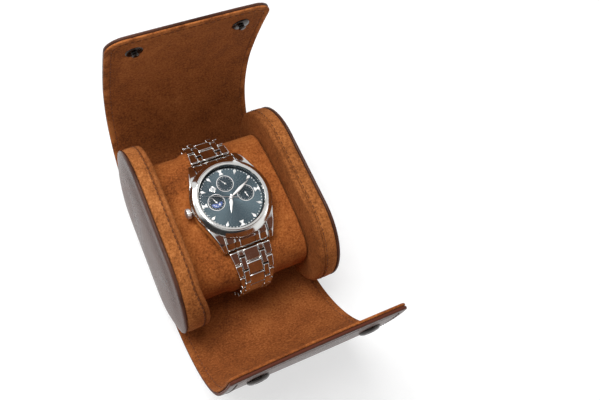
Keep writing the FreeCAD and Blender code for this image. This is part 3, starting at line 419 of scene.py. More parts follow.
def photo_camera():
    """The camera that was fitted to the photograph, with its middle off the picture's."""
    azimuth, elevation, roll = (math.radians(a) for a in (-40.62, 63.77, 19.34))
    distance = 338.55 * MM
    target = Vector((13.22, 23.92, 32.8)) * MM
    focal_px, frame_px, middle_px = 618.04, (600, 400), (230.08, 166.72)
    back = Vector((math.sin(azimuth) * math.cos(elevation), -math.cos(azimuth) * math.cos(elevation),
                   math.sin(elevation)))
    right = (-back).cross(Vector((0, 0, 1))).normalized()
    up = right.cross(-back)
    turn = Matrix((right, up, back)).transposed() @ Matrix.Rotation(roll, 3, "Z")
    data = bpy.data.cameras.new("camera")
    data.sensor_width = 36
    data.lens = focal_px * data.sensor_width / frame_px[0]
    data.shift_x = (frame_px[0] / 2 - middle_px[0]) / frame_px[0]
    data.shift_y = (middle_px[1] - frame_px[1] / 2) / frame_px[0]
    data.clip_start, data.clip_end = 0.01, 20
    camera = bpy.data.objects.new("camera", data)
    camera.matrix_world = Matrix.Translation(target + back * distance) @ turn.to_4x4()
    bpy.context.scene.collection.objects.link(camera)
    bpy.context.scene.camera = camera


def lamp(name, place, aim, size, power):
    data = bpy.data.lights.new(name, "AREA")
    data.shape = "DISK"
    data.size = size
    data.energy = power
    light = bpy.data.objects.new(name, data)
    light.location = place
    light.rotation_mode = "QUATERNION"
    light.rotation_quaternion = (Vector(aim) - Vector(place)).to_track_quat("-Z", "Y")
    bpy.context.scene.collection.objects.link(light)


def studio():
    """A paper floor that glows only for the camera, the room and the lamps."""
    angles = np.linspace(0, 2 * math.pi, 96, endpoint=False)
    radii = np.array([0.02, 0.2, 0.5, 1.2, 3.0])
    points = [(r * math.cos(a), r * math.sin(a), FLOOR_LEVEL) for r in radii for a in angles]
    faces = grid_faces(len(radii), len(angles), 0, True) + [tuple(range(len(angles)))]
    paint = Paint("floor_paper", "Object", Roughness=0.9, Specular_IOR_Level=0.0)
    paint.coat(paint.noise(0.004, 3), (0.48, 0.48, 0.48), (0.52, 0.52, 0.52))
    socket(paint.shader, "Emission Color").default_value = (1, 1, 1, 1)
    paint.set("Emission Strength", paint.math("MULTIPLY", seen_ray(paint.tree), FLOOR_GLOW))
    floor = add_mesh("floor", points, faces, paint.material)
    room()
    for name, setting in LAMPS.items():
        lamp(name, *setting)


def seen_ray(tree):
    """1 for what the camera sees straight, in metal or through glass, and 0 for what lights the object."""
    path = tree.nodes.new("ShaderNodeLightPath").outputs
    straight = math_node(tree, "MAXIMUM", path["Is Camera Ray"], path["Is Glossy Ray"])
    return math_node(tree, "MAXIMUM", straight, path["Is Transmission Ray"])


def room():
    """Even light with more from the front, seen as a white room with a dim strip and a brown card in front."""
    world = bpy.data.worlds.new("studio")
    world.use_nodes = True
    bpy.context.scene.world = world
    tree = world.node_tree
    way = tree.nodes.new("ShaderNodeTexCoord").outputs["Generated"]

    def step(towards, low, high, to_low, to_high):
        """A soft step of the part of the direction that points one way."""
        part = tree.nodes.new("ShaderNodeVectorMath")
        part.operation = "DOT_PRODUCT"
        part.inputs[1].default_value = towards
        tree.links.new(way, part.inputs[0])
        return range_node(tree, part.outputs["Value"], low, high, to_low, to_high, "SMOOTHSTEP")

    shown = step(TO_STRIP, 0.36, 0.62, 1.0, STRIP)
    for end in (step(UP, 0.6, 0.7, 0.0, 1.0), step(UP, 0.1, 0.22, 1.0, 0.0)):
        shown = math_node(tree, "MAXIMUM", shown, end)
    shown = math_node(tree, "MULTIPLY", shown, step(UP, 0.5, 0.8, 1.0, CEILING))
    light = math_node(tree, "ADD", step(TO_FRONT, 0.75, 0.95, 0.0, FRONT_LIGHT), ROOM_LIGHT)
    seen = seen_ray(tree)
    change = math_node(tree, "MULTIPLY", seen, math_node(tree, "SUBTRACT", shown, light))
    card = math_node(tree, "MULTIPLY", seen, step(TO_CARD, 0.85, 0.92, 0.0, 1.0))
    background = tree.nodes["Background"]
    tree.links.new(mix_node(tree, card, (1.0, 1.0, 1.0), CARD_COLOUR), background.inputs["Color"])
    tree.links.new(math_node(tree, "ADD", change, light), background.inputs["Strength"])


bpy.context.scene.view_settings.view_transform = "Standard"
photo_camera()
studio()


# Wrap: one sheet of two layers along the fold chain, cut at the middle of each strip

disc_lo, disc_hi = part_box("right_end_disc")
CAP_RADIUS = (disc_hi.z - disc_lo.z) / 2
CAP_HALF = (disc_hi.y - disc_lo.y) / 2 - CAP_RADIUS
CAP_MIDDLE = (disc_hi.z + disc_lo.z) / 2
WRAP = disc_lo.z
HALF_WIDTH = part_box("base_leather")[1].x
BENDS = {"lid": (9, 38, 31, 16.5, 8), "flap": (3, 29, 28, 27, 9)}
LAST_STRIP = {"lid": 45.2 * MM, "flap": 38.19 * MM}
CORNER = {"lid": 9 * MM, "flap": 3 * MM}
SIGN = {"lid": 1, "flap": -1}
LAYERS = {"leather": (-2.8 * MM, -1.2 * MM), "lining": (-1.15 * MM, 0.0)}
PAINTED = {"leather": (0.2 * MM, 0.42 * MM), "lining": (0.4 * MM, 4.5 * MM)}
EDGE = {"lid": {"leather": 0.0, "lining": 1.0}, "flap": {"leather": 1.0, "lining": 0.25}}
STITCH_IN, STITCH_PITCH = 3.3 * MM, 3.05 * MM
GROOVE_DEPTH, GROOVE_HALF = 0.22 * MM, 0.4 * MM
EDGE_ROUND, PAINT_OVER = 0.47, 0.1 * MM
END_BOW = {"lid": 1.6 * MM, "flap": 0.56 * MM}
END_DROP = {"lid": 1.8 * MM, "flap": 0.0}
SWAY, SWAY_HEIGHT = {"lid": 1.3, "flap": 4.1}, 0.35 * MM


def fold_arcs(side):
    """Arcs of the wrap's inner face from the end of the flat base: distance, y, z, heading, radius and bend."""
    points = [(CAP_HALF, WRAP)]
    points += [(abs(j["pos_m"][1]), j["pos_m"][2]) for j in frame["joints"] if j["name"].startswith(side + "_fold")]
    distance, heading, arcs = CAP_HALF, 0.0, []
    for index, bend in enumerate(math.radians(b) for b in BENDS[side]):
        if index < len(points) - 1:
            radius = math.dist(points[index], points[index + 1]) / (2 * math.sin(bend / 2))
        else:
            radius = LAST_STRIP[side] / bend
        arcs.append((distance, *points[index], heading, radius, bend))
        distance += radius * bend
        heading += bend
    return arcs, distance


ARCS, LENGTH = {}, {}
for side in SIGN:
    ARCS[side], LENGTH[side] = fold_arcs(side)


def wrap_points(side, x, s, n):
    """Points of the wrap at x across, s along from the middle of the base and n above the inner face."""
    x, s, n = np.broadcast_arrays(x, s, n)
    y, z, heading = s.astype(float), np.full(s.shape, WRAP), np.zeros(s.shape)
    for start, y0, z0, first, radius, bend in ARCS[side]:
        here = s >= start
        turned = first + (s[here] - start) / radius
        heading[here] = turned
        y[here] = y0 + radius * (np.sin(turned) - math.sin(first))
        z[here] = z0 - radius * (np.cos(turned) - math.cos(first))
    return np.stack([x, SIGN[side] * (y - n * np.sin(heading)), z + n * np.cos(heading)], -1)


def edge_distance(side, x, s):
    """How far a point of the flat sheet is from its outline."""
    across, along = HALF_WIDTH - np.abs(x), LENGTH[side] - s
    corner = CORNER[side]
    inner = corner - np.hypot(corner - across, corner - along)
    return np.where((across < corner) & (along < corner), inner, np.minimum(across, along))


def lie(side, x, s):
    """How the hand-made sheet lies: stations along it with a bowed end, and its slow rise and fall."""
    last, end = ARCS[side][-1][0], LENGTH[side]
    share = np.clip((s - last) / (end - last), 0, 1) ** 2
    bow = share * (END_BOW[side] * (1 - (x / HALF_WIDTH) ** 2) - END_DROP[side])
    phase = SWAY[side]
    slow = 0.6 * np.sin(38 * s + phase) * np.cos(27 * x + 0.7 * phase) + 0.4 * np.sin(61 * x - 44 * s + 2 * phase)
    return s + bow, SWAY_HEIGHT * slow * np.clip((s - CAP_HALF - 0.02) / 0.05, 0, 1)


NEAR_EDGE = np.array([0, 0.06, 0.2, 0.42, 0.75, 1.4, 2.1, 2.7, 3.0, 3.3, 3.6, 3.9, 4.6, 5.6]) * MM


def sheet_rows(side):
    """Stations along one side of the sheet, closer at its end, with the middles of the strips among them."""
    end = LENGTH[side]
    middles = [start + radius * bend / 2 for start, _, _, _, radius, bend in ARCS[side][:-1]]
    plain = np.linspace(0, end - 10 * MM, 110)
    rows = np.concatenate([plain, end - np.linspace(10, 5.6, 6)[1:] * MM, end - NEAR_EDGE, middles])
    return np.unique(np.round(rows, 7)), middles


def layer_grid(side, layer):
    """Stations, heights and paint of one layer of one side, with rounded edges and a stitch groove on its open face."""
    low, high = LAYERS[layer]
    rows, _ = sheet_rows(side)
    corner = CORNER[side]
    over = np.clip(rows - (LENGTH[side] - corner), 0, corner)
    half = HALF_WIDTH - corner + np.sqrt(corner ** 2 - over ** 2)
    middle = np.linspace(-1, 1, 34)[1:-1]
    reach = half - NEAR_EDGE[-1]
    x = np.concatenate([-half[:, None] + NEAR_EDGE, reach[:, None] * middle, half[:, None] - NEAR_EDGE[::-1]], 1)
    s = np.broadcast_to(rows[:, None], x.shape)
    gap = np.maximum(edge_distance(side, x, s), 0)
    edge = EDGE_ROUND * (high - low)
    drop = edge - np.sqrt(np.maximum(edge ** 2 - np.maximum(edge - gap, 0) ** 2, 0))
    groove = GROOVE_DEPTH * np.exp(-((gap - STITCH_IN) / GROOVE_HALF) ** 2)
    groove = groove * np.clip((s - CAP_HALF - 8 * MM) / (4 * MM), 0, 1)
    along, lift = lie(side, x, s)
    top = high - drop + lift - (groove if layer == "lining" else 0)
    bottom = low + drop + lift + (groove if layer == "leather" else 0)
    near, far = PAINTED[layer]
    rim = np.clip((far - gap) / (far - near), 0, 1) * EDGE[side][layer]
    outer = rim if layer == "lining" else np.clip(2 * rim - 1, 0, 1) * (gap < PAINT_OVER)
    return rows, x, s, along, top, bottom, rim, outer


def wrap_layer(side, layer):
    """One layer of one side, as pieces from the middle of each strip to the middle of the next."""
    rows, x, s, along, top, bottom, rim, outer = layer_grid(side, layer)
    upper, lower = wrap_points(side, x, along, top), wrap_points(side, x, along, bottom)
    cuts = [0.0] + sheet_rows(side)[1] + [rows[-1]]
    columns = x.shape[1]
    pieces = []
    for first, last in zip(cuts, cuts[1:]):
        inside = (rows >= first - 1e-6) & (rows <= last + 1e-6)
        count = int(inside.sum())
        total = count * columns
        vertices = np.concatenate([upper[inside].reshape(-1, 3), lower[inside].reshape(-1, 3)])
        flat = np.concatenate([np.stack([x, SIGN[side] * s, n], -1)[inside].reshape(-1, 3) for n in (top, bottom)])
        faces = grid_faces(count, columns) + grid_faces(count, columns, total)
        rims = [[row * columns for row in range(count)], [row * columns + columns - 1 for row in range(count)]]
        if last == rows[-1]:
            rims.append([(count - 1) * columns + column for column in range(columns)])
        for line in rims:
            faces += [(a, b, b + total, a + total) for a, b in zip(line, line[1:])]
        pieces.append((vertices, faces, flat, np.concatenate([rim[inside].ravel(), outer[inside].ravel()])))
    return pieces


def fold_span(side, index, reach=9 * MM):
    """Points before and after a fold, between which the sheet bends."""
    start, _, _, _, radius, bend = ARCS[side][index]
    before = ARCS[side][index - 1]
    reach_back = min(reach, 0.45 * before[4] * before[5])
    reach_on = min(reach, 0.45 * radius * bend)
    spots = wrap_points(side, np.zeros(2), np.array([start - reach_back, start + reach_on]), np.zeros(2))
    return spots[0], spots[1]


def follow_fold(piece, side, index):
    """The first piece of the sheet lies on the base and moves with the case; the others keep the place they are drawn
    in.
    """
    if index == 0:
        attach(piece, "case")
    else:
        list(fold_span(side, index))
        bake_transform(piece)


for side in SIGN:
    for layer in LAYERS:
        for index, (vertices, faces, flat, rim) in enumerate(wrap_layer(side, layer)):
            piece = add_mesh(f"{side}_{layer}_sheet_{index}", vertices, faces, finish[layer], flat, rim)
            follow_fold(piece, side, index)
            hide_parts(f"{side}_{layer}_{index}" if index else f"base_{layer}")


def capsule(length, radius, sides=6, rings=5):
    """Points and faces of a stitch along +Y."""
    points = []
    for ring in range(rings):
        t = -1 + 2 * ring / (rings - 1)
        thick = radius * (1 - 0.75 * t ** 4)
        lift = 0.5 * radius * (1 - t * t)
        points += [(thick * math.cos(a), length / 2 * t, lift + thick * math.sin(a))
                   for a in np.linspace(0, 2 * math.pi, sides, endpoint=False)]
    return np.array(points), tube_faces(rings, sides)


STITCH = capsule(2.3 * MM, 0.24 * MM)
AHEAD = 0.2 * MM


def stitch_mesh(places):
    """Stitches set at frames of (origin, along, up)."""
    shape, shape_faces = STITCH
    vertices, faces = [], []
    for origin, along, up in places:
        along = along / np.linalg.norm(along)
        side = np.cross(along, up)
        side /= np.linalg.norm(side)
        up = np.cross(side, along)
        faces += [tuple(i + len(vertices) for i in face) for face in shape_faces]
        vertices += list(origin + shape[:, :1] * side + shape[:, 1:2] * along + shape[:, 2:] * up)
    return np.array(vertices), faces


def seam_line(side, round_end):
    """Flat points and directions of the stitches along the edges of one side, and round its end if asked."""
    start, end = CAP_HALF + 11 * MM, LENGTH[side] - STITCH_IN
    half, turn = HALF_WIDTH - STITCH_IN, max(CORNER[side] - STITCH_IN, 0.5 * MM)
    path = [(half, s) for s in np.linspace(start, end - turn, 200)]
    if round_end:
        path += [(half - turn + turn * math.cos(a), end - turn + turn * math.sin(a))
                 for a in np.linspace(0, math.pi / 2, 12)[1:]]
        path += [(x, end) for x in np.linspace(half - turn, 0, 60)[1:]]
    path = np.array(path)
    far = lengths(path)
    stations = np.arange(1.4 * MM, far[-1] - 0.5 * MM, STITCH_PITCH)
    spots, ahead = (along_path(stations + step, far, path) for step in (0.0, 0.3 * MM))
    ways = (ahead - spots) / np.linalg.norm(ahead - spots, axis=1, keepdims=True)
    return np.concatenate([spots, spots * (-1, 1)]), np.concatenate([ways, ways * (-1, 1)])


def wrap_stitches(side, name, height, up_sign, material, round_end):
    """Stitches along one face of the sheet, in pieces cut where the sheet is cut."""
    spots, ways = seam_line(side, round_end)
    cuts = np.array([0.0] + sheet_rows(side)[1] + [1.0])

    def on_sheet(flat, above=0.0):
        along, lift = lie(side, flat[:, 0], flat[:, 1])
        return wrap_points(side, flat[:, 0], along, height + lift + above)

    middle, ahead = on_sheet(spots), on_sheet(spots + ways * AHEAD)
    ups = on_sheet(spots, up_sign * MM) - middle
    for index in range(1, len(cuts) - 1):
        inside = np.flatnonzero((spots[:, 1] >= cuts[index]) & (spots[:, 1] < cuts[index + 1]))
        if len(inside):
            places = [(middle[i], ahead[i] - middle[i], ups[i]) for i in inside]
            piece = add_mesh(f"{side}_{name}_{index}", *stitch_mesh(places), material)
            follow_fold(piece, side, index)


SUNK = 0.12 * MM
for side in SIGN:
    wrap_stitches(side, "inside_stitches", -SUNK, 1, finish["thread_tan"], True)
    wrap_stitches(side, "outside_stitches", LAYERS["leather"][0] + SUNK, -1, finish["thread_dark"],
                  side == "lid")


# End caps: crowned leather discs, suede bands and inner faces with a rolled and stitched lip

CAP_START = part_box("right_end_face")[0].x
CAP_PITCH, CAP_SEAM = 2.9 * MM, (3.45 * MM, 0.06 * MM)
LEFT_FLARE, FLARE_FROM, FLARE_TO = 2.6 * MM, 36 * MM, 49 * MM


def oval_ring(x, inset, arc=40, straight=12):
    """Points round the oval in the plane at x, drawn in by an inset."""
    radius = max(CAP_RADIUS - inset, 0.02 * MM)
    points = []
    for half_turn in (0, math.pi):
        y0 = CAP_HALF if half_turn == 0 else -CAP_HALF
        for a in np.linspace(-math.pi / 2, math.pi / 2, arc):
            points.append((x, y0 + radius * math.cos(a + half_turn), CAP_MIDDLE + radius * math.sin(a + half_turn)))
        level = radius if half_turn == 0 else -radius
        for t in np.linspace(1, -1, straight + 2)[1:-1]:
            points.append((x, math.copysign(CAP_HALF, level) * t, CAP_MIDDLE + level))
    return points


def turned_left(points):
    """The right cap's points turned round to the left, where the lip of the hand-made cap flares at the front."""
    points = np.asarray(points) * (-1, -1, 1)
    lip = 1 - smooth(-CAP_START - points[:, 0], 3 * MM, 9 * MM)
    points[:, 0] += LEFT_FLARE * lip * smooth(-points[:, 1], FLARE_FROM, FLARE_TO)
    return points


def oval_loft(name, profile, material, side, sag):
    """A skin over ovals of (x, inset) in millimetres from the cap's inner face, fuller below by `sag`."""
    rings = np.array([oval_ring(CAP_START + x * MM, inset * MM) for x, inset in profile])
    inside = smooth(np.array([inset for _, inset in profile]), 0.6, 7.0)[:, None]
    rings[:, :, 0] += sag * inside * (CAP_MIDDLE - rings[:, :, 2]) / CAP_RADIUS
    points = rings.reshape(-1, 3)
    faces = grid_faces(*rings.shape[:2], 0, True)
    return add_mesh(name, turned_left(points) if side == "left" else points, faces, material)


FACE = [(0.9, 29.2), (0.55, 26), (0.3, 20), (0.15, 12), (0.06, 6), (0.03, 3.6), (0.0, 2.2), (0.12, 1.2), (0.4, 0.5),
        (0.85, 0.12), (1.4, 0.0), (1.95, 0.03), (2.35, 0.16), (2.62, 0.45), (2.75, 0.8), (2.78, 1.6)]
BAND = [(2.82, 1.6), (2.86, 0.8), (3.0, 0.45), (3.3, 0.16), (3.75, 0.02), (4.6, -0.06), (6.0, -0.12), (7.4, -0.08),
        (8.3, 0.0), (8.9, 0.12), (9.22, 0.4), (9.4, 0.9), (9.45, 1.6)]
DISC = [(9.52, 1.8), (9.52, 0.8), (9.56, 0.34), (9.75, 0.06), (10.05, -0.06), (10.5, -0.06), (10.84, 0.06),
        (11.08, 0.36), (11.26, 0.8), (11.45, 1.5), (11.67, 2.5), (12.05, 4.3), (12.51, 6.6), (13.0, 9.5), (13.33, 13),
        (13.52, 17), (13.6, 22), (13.6, 29.2)]
DISC_SAG = 0.9 * MM


def cap_stitches(side):
    """Stitches round the seam between the rolled lip and the band."""
    out, inset = CAP_SEAM
    path = np.array(oval_ring(CAP_START + out, inset, 160, 60))
    path = np.concatenate([path, path[:1]])
    far = lengths(path)
    count = round(far[-1] / CAP_PITCH)
    stations = np.arange(count) * far[-1] / count
    spots, ahead = (along_path((stations + step) % far[-1], far, path) for step in (0.0, AHEAD))
    places = []
    for spot, along in zip(spots, ahead - spots):
        up = np.cross(along, (1, 0, 0))
        middle = np.array([0, np.clip(spot[1], -CAP_HALF, CAP_HALF), CAP_MIDDLE])
        up = up if up @ (spot - middle) > 0 else -up
        places.append((spot, along, up / np.linalg.norm(up)))
    vertices, faces = stitch_mesh(places)
    vertices = turned_left(vertices) if side == "left" else vertices
    return add_mesh(f"{side}_cap_stitches", vertices, faces, finish["thread_seam"])


# The inner faces take the darker face suede, whose darkness is painted shade.
for side in ("left", "right"):
    for part, profile, look, slot, sag in (("face", FACE, "face", "suede", 0.0), ("band", BAND, "band", "suede", 0.0),
                                           ("disc", DISC, "leather", "leather", DISC_SAG)):
        piece = oval_loft(f"{side}_cap_{part}", profile, finish[look], side, sag)
        fixed(piece, "case", slot, f"{side}_end_{part}")
    fixed(cap_stitches(side), "case", "suede")


# Cushion: a stuffed suede pillow, pressed in by the bracelet and swelling beside it

cushion_lo, cushion_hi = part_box("cushion_cover")
CUSHION_HALF = Vector((cushion_hi - cushion_lo) / 2)
CUSHION_Z = (cushion_hi.z + cushion_lo.z) / 2
CROWN, FLANK, ROUND = 150 * MM, 90 * MM, 14 * MM
WATCH_Z = cushion_hi.z + 0.3 * MM
STRAP_EDGE, HEAD_EDGE = (11.2 * MM, 13.4 * MM), (20.5 * MM, 24.5 * MM)
TUCK, SLACK, SNUG, MOST_SWELL = 3.0 * MM, 0.7 * MM, 0.45 * MM, 2.3 * MM
UNEVEN, UNEVEN_SCALE, MOST_UNEVEN = 0.35 * MM, 60, 0.25 * MM


def cushion_section(count=120):
    """Points and outward normals of the cushion's section in y and z, from tangent arcs."""
    crown_z, flank_y = CUSHION_HALF.z - CROWN, CUSHION_HALF.y - FLANK
    apart = math.hypot(flank_y, crown_z)
    along = ((CROWN - ROUND) ** 2 - (FLANK - ROUND) ** 2 + apart ** 2) / (2 * apart)
    aside = math.sqrt((CROWN - ROUND) ** 2 - along ** 2)
    corner_y = (flank_y * along - crown_z * aside) / apart
    corner_z = crown_z - (crown_z * along + flank_y * aside) / apart
    steep, low = math.atan2(corner_z - crown_z, corner_y), math.atan2(corner_z, corner_y - flank_y)
    quarter = [(flank_y, 0.0, FLANK, 0.0, low), (corner_y, corner_z, ROUND, low, steep),
               (0.0, crown_z, CROWN, steep, math.pi / 2)]
    points, normals = [], []
    for y, z, radius, first, last in quarter:
        for angle in np.linspace(first, last, 40, endpoint=False):
            points.append((y + radius * math.cos(angle), z + radius * math.sin(angle)))
            normals.append((math.cos(angle), math.sin(angle)))
    points, normals = np.array(points), np.array(normals)
    mirror = [(1, 1), (-1, 1), (-1, -1), (1, -1)]
    loops = []
    for values in (points, normals):
        parts = [values * m if i % 2 == 0 else (values * m)[::-1] for i, m in enumerate(mirror)]
        loops.append(np.concatenate(parts))
    far = lengths(loops[0])
    stations = np.linspace(0, far[-1], count, endpoint=False)
    points, normals = (along_path(stations, far, values) for values in loops)
    points[:, 1] += CUSHION_Z
    return points, normals


def cushion_start(points, normals):
    """Rings of the unfilled cover, drawn in where it can swell, and how firmly each point is held.

    The bracelet and the watch hold the middle, and the sewn end panels hold the ends."""
    half = CUSHION_HALF.x
    back = np.array([0.0, 0.15, 0.45, 0.95, 1.6, 2.6, 4.0, 5.8]) * MM
    stations = np.concatenate([-half + back, np.linspace(-half + 7.5 * MM, half - 7.5 * MM, 40), half - back[::-1]])
    top = normals[:, 1] > 0.5
    low = np.maximum(-normals[:, 1], 0)
    tuck = TUCK * np.clip(2 * low * np.abs(normals[:, 0]), 0, 1)
    rings, held = [], []
    for x in stations:
        end = np.clip(1 - (half - abs(x)) / (2.6 * MM), 0, 1)
        inset = 2.4 * MM * (1 - math.sqrt(max(1 - end ** 2, 0)))
        from_head = np.hypot(x, points[:, 0])
        strap = 1 - smooth(abs(x), *STRAP_EDGE)
        head = np.where(top, 1 - smooth(from_head, *HEAD_EDGE), 0.0)
        firm = np.maximum(np.maximum(strap, head), smooth(abs(x), half - 2.4 * MM, half - 0.8 * MM))
        snug = SNUG * strap * np.where(top, smooth(np.abs(points[:, 0]), 22 * MM, 30 * MM), 1.0)
        grown = points + normals * (snug - inset - tuck - SLACK * (1 - firm))[:, None]
        rings.append(np.stack([np.full(len(grown), x), grown[:, 0], grown[:, 1]], 1))
        held.append(firm)
    middle = np.array([0, CUSHION_Z])
    for sign, ring in ((-1, rings[0]), (1, rings[-1])):
        for share in (0.92, 0.8, 0.6, 0.35, 0.06):
            flat = ring.copy()
            flat[:, 1:] = middle + (ring[:, 1:] - middle) * share
            rings = [flat] + rings if sign < 0 else rings + [flat]
            held = [np.ones(len(flat))] + held if sign < 0 else held + [np.ones(len(flat))]
    return np.array(rings), np.concatenate(held)


def filled(piece, held, most):
    """Swells a cover by cloth simulation under pressure, with no point moving further than `most`."""
    start = np.array([v.co for v in piece.data.vertices])
    group = piece.vertex_groups.new(name="held")
    for index, weight in enumerate(held):
        if weight > 0.01:
            group.add([index], float(weight), "REPLACE")
    cloth = piece.modifiers.new("filling", "CLOTH")
    cloth.settings.vertex_group_mass = "held"
    cloth.settings.quality = 6
    cloth.settings.mass = 0.2
    cloth.settings.tension_stiffness = cloth.settings.compression_stiffness = 12
    cloth.settings.bending_stiffness = 0.4
    cloth.settings.use_pressure = True
    cloth.settings.uniform_pressure_force = 4
    cloth.settings.effector_weights.gravity = 0
    scene = bpy.context.scene
    for step in range(1, 21):
        scene.frame_set(step)
    swollen = piece.evaluated_get(bpy.context.evaluated_depsgraph_get()).to_mesh()
    moved = np.array([v.co for v in swollen.vertices]) - start
    piece.modifiers.remove(cloth)
    scene.frame_set(1)
    far = np.linalg.norm(moved, axis=1, keepdims=True)
    return start + moved * (most * np.tanh(far / most) / np.maximum(far, 1e-9))


def cushion():
    """The filled cover with a slow unevenness where nothing holds it."""
    rings, held = cushion_start(*cushion_section())
    cover = add_mesh("cushion_pillow", rings.reshape(-1, 3), tube_faces(*rings.shape[:2]), finish["cushion"])
    shape = filled(cover, held, MOST_SWELL)
    uneven = np.array([field.noise(Vector(p) * UNEVEN_SCALE) for p in shape]) * UNEVEN * (1 - held)
    shape[:, 2] += np.minimum(uneven, MOST_UNEVEN)
    cover.data.vertices.foreach_set("co", shape.astype(np.float32).ravel())
    cover.vertex_groups.clear()
    finer = cover.modifiers.new("finer", "SUBSURF")
    finer.levels = finer.render_levels = 1
    cover.data = bpy.data.meshes.new_from_object(cover.evaluated_get(bpy.context.evaluated_depsgraph_get()))
    cover.modifiers.remove(finer)
    fixed(cover, "cushion", "cushion_suede", "cushion_cover")


cushion()


# Watch: drawn with 12 o'clock along +Y in millimetres, then turned to face the front of the case

FLUTED_FROM = 2.4
WATCH = Matrix.Translation((0, 0, WATCH_Z)) @ Matrix.Rotation(math.pi, 4, "Z") @ Matrix.Scale(MM, 4)


def set_on_watch(points, place=None):
    """Points of the watch's drawing in the frame."""
    matrix = np.array(WATCH @ place if place else WATCH)
    points = np.asarray(points, float)
    return points @ matrix[:3, :3].T + matrix[:3, 3]


def lathe(profile, segments=96, flutes=0, depth=0.0):
    """Points and faces of a profile of (radius, height) turned about Z, fluted if asked."""
    angles = np.linspace(0, 2 * math.pi, segments, endpoint=False)
    points = []
    for radius, height in profile:
        ripple = 1 + depth * (np.cos(flutes * angles) - 1) / 2 if flutes and radius > FLUTED_FROM else np.ones(segments)
        points += [(radius * r * math.cos(a), radius * r * math.sin(a), height) for a, r in zip(angles, ripple)]
    return points, grid_faces(len(profile), segments, 0, True)


def merged(parts):
    """Several (points, faces) as one."""
    points, faces = [], []
    for more, more_faces in parts:
        faces += [tuple(i + len(points) for i in face) for face in more_faces]
        points += [tuple(p) for p in more]
    return points, faces


def watch_piece(name, parts, material, body, slot, nodes=(), place=None, angle=None):
    """A piece of the watch from parts in its own drawing."""
    points, faces = merged(parts)
    piece = add_mesh(name, set_on_watch(points, place), faces, material)
    if angle:
        crisp(piece, angle)
    return fixed(piece, body, slot, *nodes)


def placed(part, x=0.0, y=0.0, z=0.0, turn=0.0):
    """A part turned clockwise by degrees about Z and moved."""
    points, faces = part
    c, s = math.cos(math.radians(-turn)), math.sin(math.radians(-turn))
    return [(x + c * p[0] - s * p[1], y + s * p[0] + c * p[1], z + p[2]) for p in points], faces


def plate(outline, low, high, bevel):
    """A flat piece with bevelled upper edges: an outline of (x, y) from one level to another."""
    outline = np.array(outline, float)
    count = len(outline)
    before, after = outline - np.roll(outline, 1, 0), np.roll(outline, -1, 0) - outline
    area = np.sum(outline[:, 0] * np.roll(outline[:, 1], -1) - outline[:, 1] * np.roll(outline[:, 0], -1))
    turn = np.sign(area)
    inward = []
    for a, b in zip(before, after):
        na, nb = (np.array((-v[1], v[0])) / max(np.hypot(*v), 1e-9) * turn for v in (a, b))
        inward.append((na + nb) / max(1 + na @ nb, 0.35))
    inside = outline + np.array(inward) * bevel
    points = [(*p, low) for p in outline] + [(*p, high - bevel * 0.6) for p in outline] + [(*p, high) for p in inside]
    return points, tube_faces(3, count)


def ridged(half, low, rim, ridge):
    """A hand with a roof: the right half of its outline, mirrored about Y, with the middle line raised."""
    points = []
    for x, y in half:
        points += [(-x, y, low), (-x, y, rim), (0.0, y, ridge), (x, y, rim), (x, y, low)]
    count = len(half)
    faces = grid_faces(count, 5)
    faces += [(row * 5, row * 5 + 4, row * 5 + 9, row * 5 + 5) for row in range(count - 1)]
    faces += [tuple(range(5)), tuple(range((count - 1) * 5, count * 5))]
    return points, faces


def ring(radius, width, low, high, segments=64, x=0.0, y=0.0):
    """A flat ring with soft upper edges."""
    soft = 0.3 * min(width, high - low)
    profile = [(radius - width, low), (radius - width, high - soft), (radius - width + soft, high),
               (radius - soft, high), (radius, high - soft), (radius, low)]
    return placed(lathe(profile, segments), x, y)


CASE = [(17.4, 1.3), (19.6, 1.2), (20.4, 1.5), (20.85, 2.2), (21.0, 3.2), (21.0, 6.2), (20.94, 6.85), (20.8, 7.2),
        (20.6, 7.37), (17.35, 7.38)]
BEZEL = [(16.58, 7.46), (16.58, 9.35), (16.64, 9.56), (16.8, 9.68), (17.05, 9.7), (17.7, 9.7), (17.9, 9.66),
         (18.02, 9.56), (18.06, 9.44), (18.2, 9.42), (18.32, 9.42), (18.7, 9.16), (19.2, 8.78), (19.7, 8.35),
         (20.15, 7.9), (20.45, 7.6), (20.56, 7.5), (20.45, 7.45), (16.58, 7.46)]
CRYSTAL = [(0.01, 9.88), (6, 9.86), (11, 9.82), (14.5, 9.76), (16.0, 9.68), (16.35, 9.55), (16.5, 9.35), (16.5, 8.15),
           (16.2, 8.12), (0.01, 8.12)]
CHAPTER = [(17.2, 6.62), (15.92, 6.62), (15.96, 6.72), (16.3, 7.12), (16.65, 7.33), (17.12, 7.34), (17.2, 7.28),
           (17.2, 6.62)]
CASE_BACK = [(0.01, 0.0), (14, 0.0), (16.5, 0.05), (17.9, 0.3), (18.35, 0.7), (18.35, 1.14), (0.01, 1.14)]
LUG_INNER, CASE_BORE = 11.02, 17.6
LUG_ROOT, LUG_TIP = (19.6, 7.5), (13.1, 24.6)
LUG_TOP = ((7.5, 7.3), (14.0, 7.0), (17.9, 6.5), (20.6, 5.2), (22.8, 3.6), (23.8, 2.5), (24.55, 1.3))
LUG_FOOT = ((7.5, 1.3), (17.9, 1.25), (21.6, -0.15), (23.4, -0.5), (24.0, -0.5), (24.4, 0.3), (24.55, 1.0))


